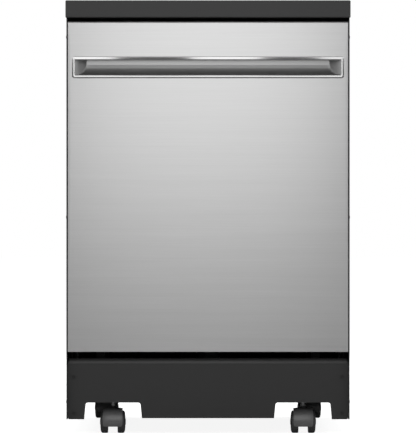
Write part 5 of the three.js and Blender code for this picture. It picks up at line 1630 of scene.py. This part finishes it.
LOWER_HUB = ((259, 11.4), (259, 27), (261, 28), (277, 26.5), (280, 22), (281, 15), (280.4, 5), (275.8, 4),
             (275.8, 11.4))
MIDDLE_HUB = ((543, 10.6), (543, 21), (544, 22), (555, 21.4), (557.6, 19), (558, 15), (558, 10.6))


# ---------------------------------------------------------------- racks


@dataclass(frozen=True)
class Rack:
    """A vinyl-coated wire rack: hoops, bent cross wires and rows of tines."""

    node: str
    half: float
    front: float
    back: float
    floor: float
    rim: float
    rows: Sequence[float]
    row_reach: Span
    tine: float
    wire: float = 1.9
    pitch: float = 33
    tine_pitch: float = 26
    tine_half: float = 9
    lean: float = 9

    def build(self) -> None:
        """Makes the rack's wires."""
        form = Form()
        self.basket(form)
        for x in self.rows:
            self.tines(form, x)
        form.piece(f"{self.node}_wires", RACK_VINYL, self.node, [self.node], crease=60)

    def basket(self, form: Form) -> None:
        """Draws the hoops and the bent wires that cross below them.

        Args:
            form: The rack's form.
        """
        half, front, back, low, rim = self.half, self.front, self.back, self.floor, self.rim
        lift = low + 2 * self.wire
        for z, radius, size in ((rim, 24, 3.0), ((low + rim) / 2, 22, 2.2), (low + 3, 18, 2.4)):
            hoop = [(x, y, z) for x, y in rounded((-half, half), (front, back), radius, 6)]
            form.tube(hoop, size, 8, loop=True)
        for y in evenly(front + 20, back - 20, round((back - front - 40) / self.pitch) + 1):
            self.hanger(form, [(-half, y, rim), (-half, y, low), (half, y, low), (half, y, rim)])
        for x in evenly(20 - half, half - 20, round((2 * half - 40) / self.pitch) + 1):
            self.hanger(form, [(x, front, rim), (x, front, lift), (x, back, lift), (x, back, rim)])

    def hanger(self, form: Form, corners: Sequence[Solid]) -> None:
        """Draws one wire from rim to rim, bent where it meets the floor.

        Args:
            form: The rack's form.
            corners: Its two ends and two corners.
        """
        form.tube(bent(corners, (16, 16), 4), self.wire, 6)

    def tines(self, form: Form, x: float) -> None:
        """Draws one row of leaning tines and the two wires that they stand on.

        Args:
            form: The rack's form.
            x: Where the row stands.
        """
        start, stop = self.row_reach
        half, lean, low = self.tine_half, self.lean, self.floor + 2 * self.wire
        top = low + self.tine
        for y in evenly(start, stop, round((stop - start) / self.tine_pitch) + 1):
            form.tube([(x - half, y, low), (x - half + lean * 0.3, y + lean, top - 8),
                       (x - 5, y + lean * 1.15, top - 1.5), (x, y + lean * 1.2, top),
                       (x + 5, y + lean * 1.15, top - 1.5), (x + half - lean * 0.3, y + lean, top - 8),
                       (x + half, y, low)], self.wire, 6)
        for rail in (x - half, x + half):
            form.tube([(rail, start - 8, low + 2), (rail, stop + 8, low + 2)], self.wire, 6)


@dataclass(frozen=True)
class Racks:
    """Both racks, their runners and the cutlery basket."""

    lower: Rack = Rack("lower_rack", 240, -262, 238, 285, 392, (-190, -110, 110, 190), (-150, 190), 70)
    upper: Rack = Rack("upper_rack", 246, -261.5, 242.7, 580, 669, (-200, -90, 90, 200), (-220, 190), 52)
    wheel_places: Span = (-150, 195)
    wheel_height: float = 260
    slider_places: Span = (-204, 185)
    rail_height: float = 635

    def build(self) -> None:
        """Makes the racks and the basket."""
        self.lower.build()
        self.wheels()
        self.upper.build()
        self.runners()
        self.duct()
        CutleryBasket().build()

    def wheels(self) -> None:
        """Makes the lower rack's wheels and their brackets."""
        form = Form()
        for y in self.wheel_places:
            form.both(self.wheel(y))
        form.piece("lower_rack_wheels", GREY_PLASTIC, "lower_rack", ["lower_rack"], crease=40)

    def wheel(self, y: float) -> Form:
        """Draws one six-spoke wheel of the right side with its bracket.

        Args:
            y: Where it stands.

        Returns:
            The wheel's form.
        """
        at = (0, y, self.wheel_height)
        tyre = [(244.4, 16.5), (244.4, 19), (245.4, 20), (251.6, 20), (252.6, 19), (252.6, 16.5)]
        form = Form().turn(tyre, at, Along.X, 48, loop=True)
        form.turn([(244, 2), (244, 6.4), (252.8, 6.4), (252.8, 2)], at, Along.X, 24, loop=True)
        form.spokes((246.6, 5.6, -1.4), (250.4, 17, 1.4), 0.5, at, Along.X, range(0, 360, 60))
        form.plate([rounded((y - 8, y + 8), (252, 300), 5, 5)], Along.X, (240.6, 243.6), 0.6)
        return form.turn([(240, 2.8), (252.2, 2.8)], at, Along.X, 16)

    def runners(self) -> None:
        """Makes the upper rack's side runners."""
        form = Form()
        slider = [(250, 4), (271, 4), (271.4, 9.4), (275, 9), (275, 3)]
        for y in self.slider_places:
            ear = rounded((y - 14, y + 14), (600, 650), 6, 5)
            form.both(Form().plate([ear], Along.X, (247.6, 250.4), 0.6))
            form.both(Form().turn(slider, (0, y, self.rail_height), Along.X, 24))
        form.both(Form().block((269.4, -262, 628.4), (274.8, 243, 641.6), 1.4, 3))
        form.piece("upper_rack_runners", GREY_PLASTIC, "upper_rack", ["upper_rack"], crease=40)

    def duct(self) -> None:
        """Makes the duct on the upper rack that feeds the middle spray arm."""
        port = [(241, 12.8), (243, 12.8), (244.6, 12), (244.6, 9), (241, 9)]
        neck = [(539.5, 13), (540, 14.6), (542, 14.8), (542, 9.9), (560, 9.9)]
        duct = Form().block((-14, -21, 559.5), (14, 242, 578), 4, 3)
        duct.turn(port, (0, 0, 566), Along.Y, 32)
        duct.turn(neck, (*SPRAY_LINE, 0), Along.Z, 32)
        for y in (40, 120, 200):
            duct.block((-16, y, 570), (16, y + 8, 584.5), 1.2)
        duct.piece("upper_rack_duct", GREY_PLASTIC, "upper_rack", ["upper_rack"], crease=40)


@dataclass(frozen=True)
class CutleryBasket:
    """The lattice basket with four cells and a carrying loop."""

    half: float = 115
    front: float = -252
    back: float = -190
    low: float = 290
    high: float = 398
    wall: float = 2.2
    edge: float = 0.4
    dividers: Sequence[float] = (-57.4, -1.1, 55.2)
    loop_foot: float = 57

    def build(self) -> None:
        """Makes the lattice and the loop."""
        self.lattice()
        self.loop()

    def lattice(self) -> None:
        """Makes the walls, the dividers, the base and the rim."""
        form = Form()
        half, low, high, w, edge = self.half, self.low, self.high, self.wall, self.edge
        front, back = self.front, self.back
        face = self.windows((-half + 6, half - 6), (low + 8, high - 12), 16, 5)
        side = self.windows((front + 6, back - 6), (low + 8, high - 12), 4, 5)
        base = self.windows((-half + 5, half - 5), (front + 5, back - 5), 20, 5)
        for y in (front, back - w):
            form.plate([rounded((-half, half), (low, high), 5), *face], Along.Y, (y, y + w), edge)
        for x in (-half, half - w):
            form.plate([rounded((front, back), (low, high), 4), *side], Along.X, (x, x + w), edge)
        for x in self.dividers:
            form.plate([drawn_in((front, back), (low, high), 1, 3, 6), *side], Along.X, (x, x + w), edge)
        form.plate([rounded((-half, half), (front, back), 4), *base], Along.Z, (low, low + w), edge)
        rim = drawn_in((-half, half), (front, back), 1.6, 5, 6)
        form.tube([(x, y, high - 1.6) for x, y in rim], 1.6, 8, loop=True)
        form.piece("cutlery_basket_lattice", GREY_PLASTIC, "cutlery_basket", ["cutlery_basket"])

    def loop(self) -> None:
        """Makes the carrying loop with its grip."""
        y, foot, high = (self.front + self.back) / 2, self.loop_foot, self.high
        corners = [(-foot, y, high - 14), (-foot, y, high + 10), (-foot + 12, y, high + 23.4),
                   (foot - 12, y, high + 23.4), (foot, y, high + 10), (foot, y, high - 14)]
        form = Form().tube(bent(corners, (8, 8, 8, 8), 5), 2.5, 12)
        form.block((-30, y - 4, high + 20.6), (30, y + 4, high + 25.8), 2, 3)
        form.piece("cutlery_basket_loop", DARK_PLASTIC, "cutlery_basket", ["cutlery_basket"])

    def windows(self, u: Span, v: Span, columns: int, rows: int) -> list[list[Flat]]:
        """Draws a grid of small windows.

        Args:
            u: The grid's reach along the first direction.
            v: The grid's reach along the second direction.
            columns: Windows along the first direction.
            rows: Windows along the second direction.

        Returns:
            The windows' outlines.
        """
        du, dv = (u[1] - u[0]) / columns, (v[1] - v[0]) / rows
        return [
            drawn_in((u[0] + i * du, u[0] + (i + 1) * du), (v[0] + j * dv, v[0] + (j + 1) * dv), 1.2, 2, 3)
            for i in range(columns) for j in range(rows)
        ]


# ---------------------------------------------------------------- base


@dataclass(frozen=True)
class Base:
    """The zinc-plated tray under the tub and the two coil springs that balance the door."""

    spring_x: float = 291.25
    tail: Flat = (-264, 225)
    anchor: Flat = (-62, 112)
    coil: float = 3.6
    wire: float = 0.85
    turns: int = 46
    steps: int = 8
    hooks: Span = (16, 10)
    give: float = 40

    def build(self) -> None:
        """Keeps the tray and makes the springs."""
        carry_over("base_tray", ZINC, 0.5)
        for side, name in ((-1, "left"), (1, "right")):
            self.spring(side, name)

    def spring(self, side: int, name: str) -> None:
        """Makes one door spring with its hooks.

        Args:
            side: 1 for the right of the machine, -1 for the left.
            name: The side's name.
        """
        top = Vector((side * self.spring_x, *self.tail))
        low = Vector((side * self.spring_x, *self.anchor))
        ahead = (low - top).normalized()
        across = Vector((1, 0, 0))
        other = ahead.cross(across)
        start, end = top + ahead * self.hooks[0], low - ahead * self.hooks[1]
        path = [top + ahead * 3, start - ahead * 3]
        for i in range(self.turns * self.steps + 1):
            angle = math.radians(360 / self.steps * i)
            middle = start.lerp(end, i / (self.turns * self.steps))
            path.append(middle + (across * math.cos(angle) + other * math.sin(angle)) * self.coil)
        path += [end + ahead * 2, low - ahead * 2]
        form = Form().tube(path, self.wire, 6)
        form.piece(f"{name}_spring_coil", BRIGHT_STEEL, "cabinet", [f"{name}_door_spring"], crease=80,
                   across=("door", top + ahead * self.give, top + ahead * 8))


# ---------------------------------------------------------------- studio


@dataclass(frozen=True)
class Lamp:
    """One soft lamp: where it stands, what it faces, its size and its power."""

    name: str
    at: Solid
    to: Solid
    size: Flat
    power: float

    def build(self) -> None:
        """Hangs the lamp."""
        light = bpy.data.lights.new(self.name, "AREA")
        light.shape = "RECTANGLE"
        light.size, light.size_y = self.size
        light.energy = self.power
        made = bpy.data.objects.new(self.name, light)
        made.location = self.at
        made.rotation_euler = (Vector(self.to) - Vector(self.at)).to_track_quat("-Z", "Y").to_euler()
        made.visible_camera = False
        bpy.context.collection.objects.link(made)


@dataclass(frozen=True)
class Studio:
    """The camera, the lamps, the floor and the white surroundings."""

    eye: Solid = (0, -7.555, 0.4712)
    lens: float = 184.95
    sensor: float = 24
    farthest: float = 100
    floor_reach: float = 30
    floor_tone: float = 0.48
    floor_glow: float = 0.9
    fill: float = 0.22
    mirrored_side: Span = (-0.2, 0.6)
    mirrored_light: Span = (0.19, 1.0)
    lamps: Sequence[Lamp] = (
        Lamp("key", (-0.02, -1.7, 1.05), (-0.02, -0.3, 1.05), (0.84, 1.2), 5.7),
        Lamp("strip_left", (-0.31, -1.3, 1.62), (-0.28, -0.35, 0.82), (0.15, 0.34), 0.33),
        Lamp("strip_middle", (0.045, -1.3, 1.62), (0.04, -0.35, 0.82), (0.18, 0.34), 0.4),
        Lamp("strip_right", (0.34, -1.3, 1.62), (0.3, -0.35, 0.82), (0.12, 0.34), 0.22),
        Lamp("left_fill", (-3.2, -1.6, 1.7), (0, 0, 0.5), (1.6, 1.6), 34),
        Lamp("right_fill", (3.2, -1.6, 1.7), (0, 0, 0.5), (1.6, 1.6), 34),
        Lamp("top", (0, 0.2, 3.2), (0, 0, 0.5), (2.4, 2.4), 50),
        Lamp("rear", (0, 3.4, 1.8), (0, 0, 0.5), (2.4, 1.6), 60),
    )

    def build(self) -> None:
        """Sets up the camera, lamps, world and floor."""
        bpy.context.scene.view_settings.view_transform = "Standard"
        self.camera()
        for lamp in self.lamps:
            lamp.build()
        self.world()
        self.floor()

    def camera(self) -> None:
        """Sets up the camera, level and straight in front."""
        scene = bpy.context.scene
        data = bpy.data.cameras.new("camera")
        data.sensor_width = self.sensor
        data.lens = self.lens
        data.clip_end = self.farthest
        camera = bpy.data.objects.new("camera", data)
        camera.location = self.eye
        camera.rotation_euler = (math.pi / 2, 0, 0)
        scene.collection.objects.link(camera)
        scene.camera = camera

    def world(self) -> None:
        """Makes surroundings that are white behind the object and a soft grey light on it."""
        world = bpy.data.worlds.new("surroundings")
        bpy.context.scene.world = world
        paint = fresh_painter(world)
        path = paint.add("ShaderNodeLightPath")
        seen = paint.reckon("MAXIMUM", path.outputs["Is Camera Ray"], path.outputs["Is Transmission Ray"])
        where = paint.add("ShaderNodeTexCoord")
        split = paint.add("ShaderNodeSeparateXYZ")
        paint.link(where.outputs["Generated"], split.inputs[0])
        behind = paint.spread(split.outputs["Y"], self.mirrored_side, self.mirrored_light)
        mirror = paint.reckon("MULTIPLY", path.outputs["Is Glossy Ray"], behind)
        strength = paint.reckon("MAXIMUM", paint.reckon("MAXIMUM", seen, mirror), self.fill)
        background = paint.add("ShaderNodeBackground")
        background.inputs["Color"].default_value = (1, 1, 1, 1)
        paint.link(strength, background.inputs["Strength"])
        output = paint.add("ShaderNodeOutputWorld")
        paint.link(background.outputs[0], output.inputs["Surface"])

    def floor(self) -> None:
        """Lays a pale floor that looks white and keeps the object's shadow."""
        reach = self.floor_reach
        corners = [(-reach, -reach, 0), (reach, -reach, 0), (reach, reach, 0), (-reach, reach, 0)]
        data = bpy.data.meshes.new("floor")
        data.from_pydata(corners, [], [(0, 1, 2, 3)])
        made = bpy.data.objects.new("floor", data)
        bpy.context.collection.objects.link(made)
        data.materials.append(self.floor_white())

    def floor_white(self) -> bpy.types.Material:
        """Makes the floor's surface: a pale grey that glows only where the camera sees it.

        Returns:
            The material.
        """
        material = bpy.data.materials.new("floor_white")
        paint = fresh_painter(material)
        cover = paint.add("ShaderNodeBsdfDiffuse")
        cover.inputs["Color"].default_value = (self.floor_tone, self.floor_tone, self.floor_tone, 1)
        glow = paint.add("ShaderNodeEmission")
        path = paint.add("ShaderNodeLightPath")
        lift = paint.reckon("MULTIPLY", path.outputs["Is Camera Ray"], self.floor_glow)
        paint.link(lift, glow.inputs["Strength"])
        both = paint.add("ShaderNodeAddShader")
        paint.link(cover.outputs[0], both.inputs[0])
        paint.link(glow.outputs[0], both.inputs[1])
        output = paint.add("ShaderNodeOutputMaterial")
        paint.link(both.outputs[0], output.inputs["Surface"])
        return material


def main() -> None:
    """Builds the studio and every sub-assembly."""
    logging.basicConfig(level=logging.INFO, format="%(name)s %(message)s")
    assemblies = [
        Studio(),
        Worktop(),
        Panels(),
        ToeKick(),
        Caster("front_left", -207, -272),
        Caster("front_right", 207, -272),
        Caster("rear_left", -237, 272),
        Caster("rear_right", 237, 272),
        Door(),
        Tub(),
        SprayArm("lower_spray_arm", 235, 263, 30, 17, 14, LOWER_HUB),
        SprayArm("middle_spray_arm", 225, 543, 24, 14, 12, MIDDLE_HUB),
        Racks(),
        Base(),
    ]
    for assembly in assemblies:
        log.info("building %s", type(assembly).__name__)
        assembly.build()


if __name__ == "__main__":
    main()
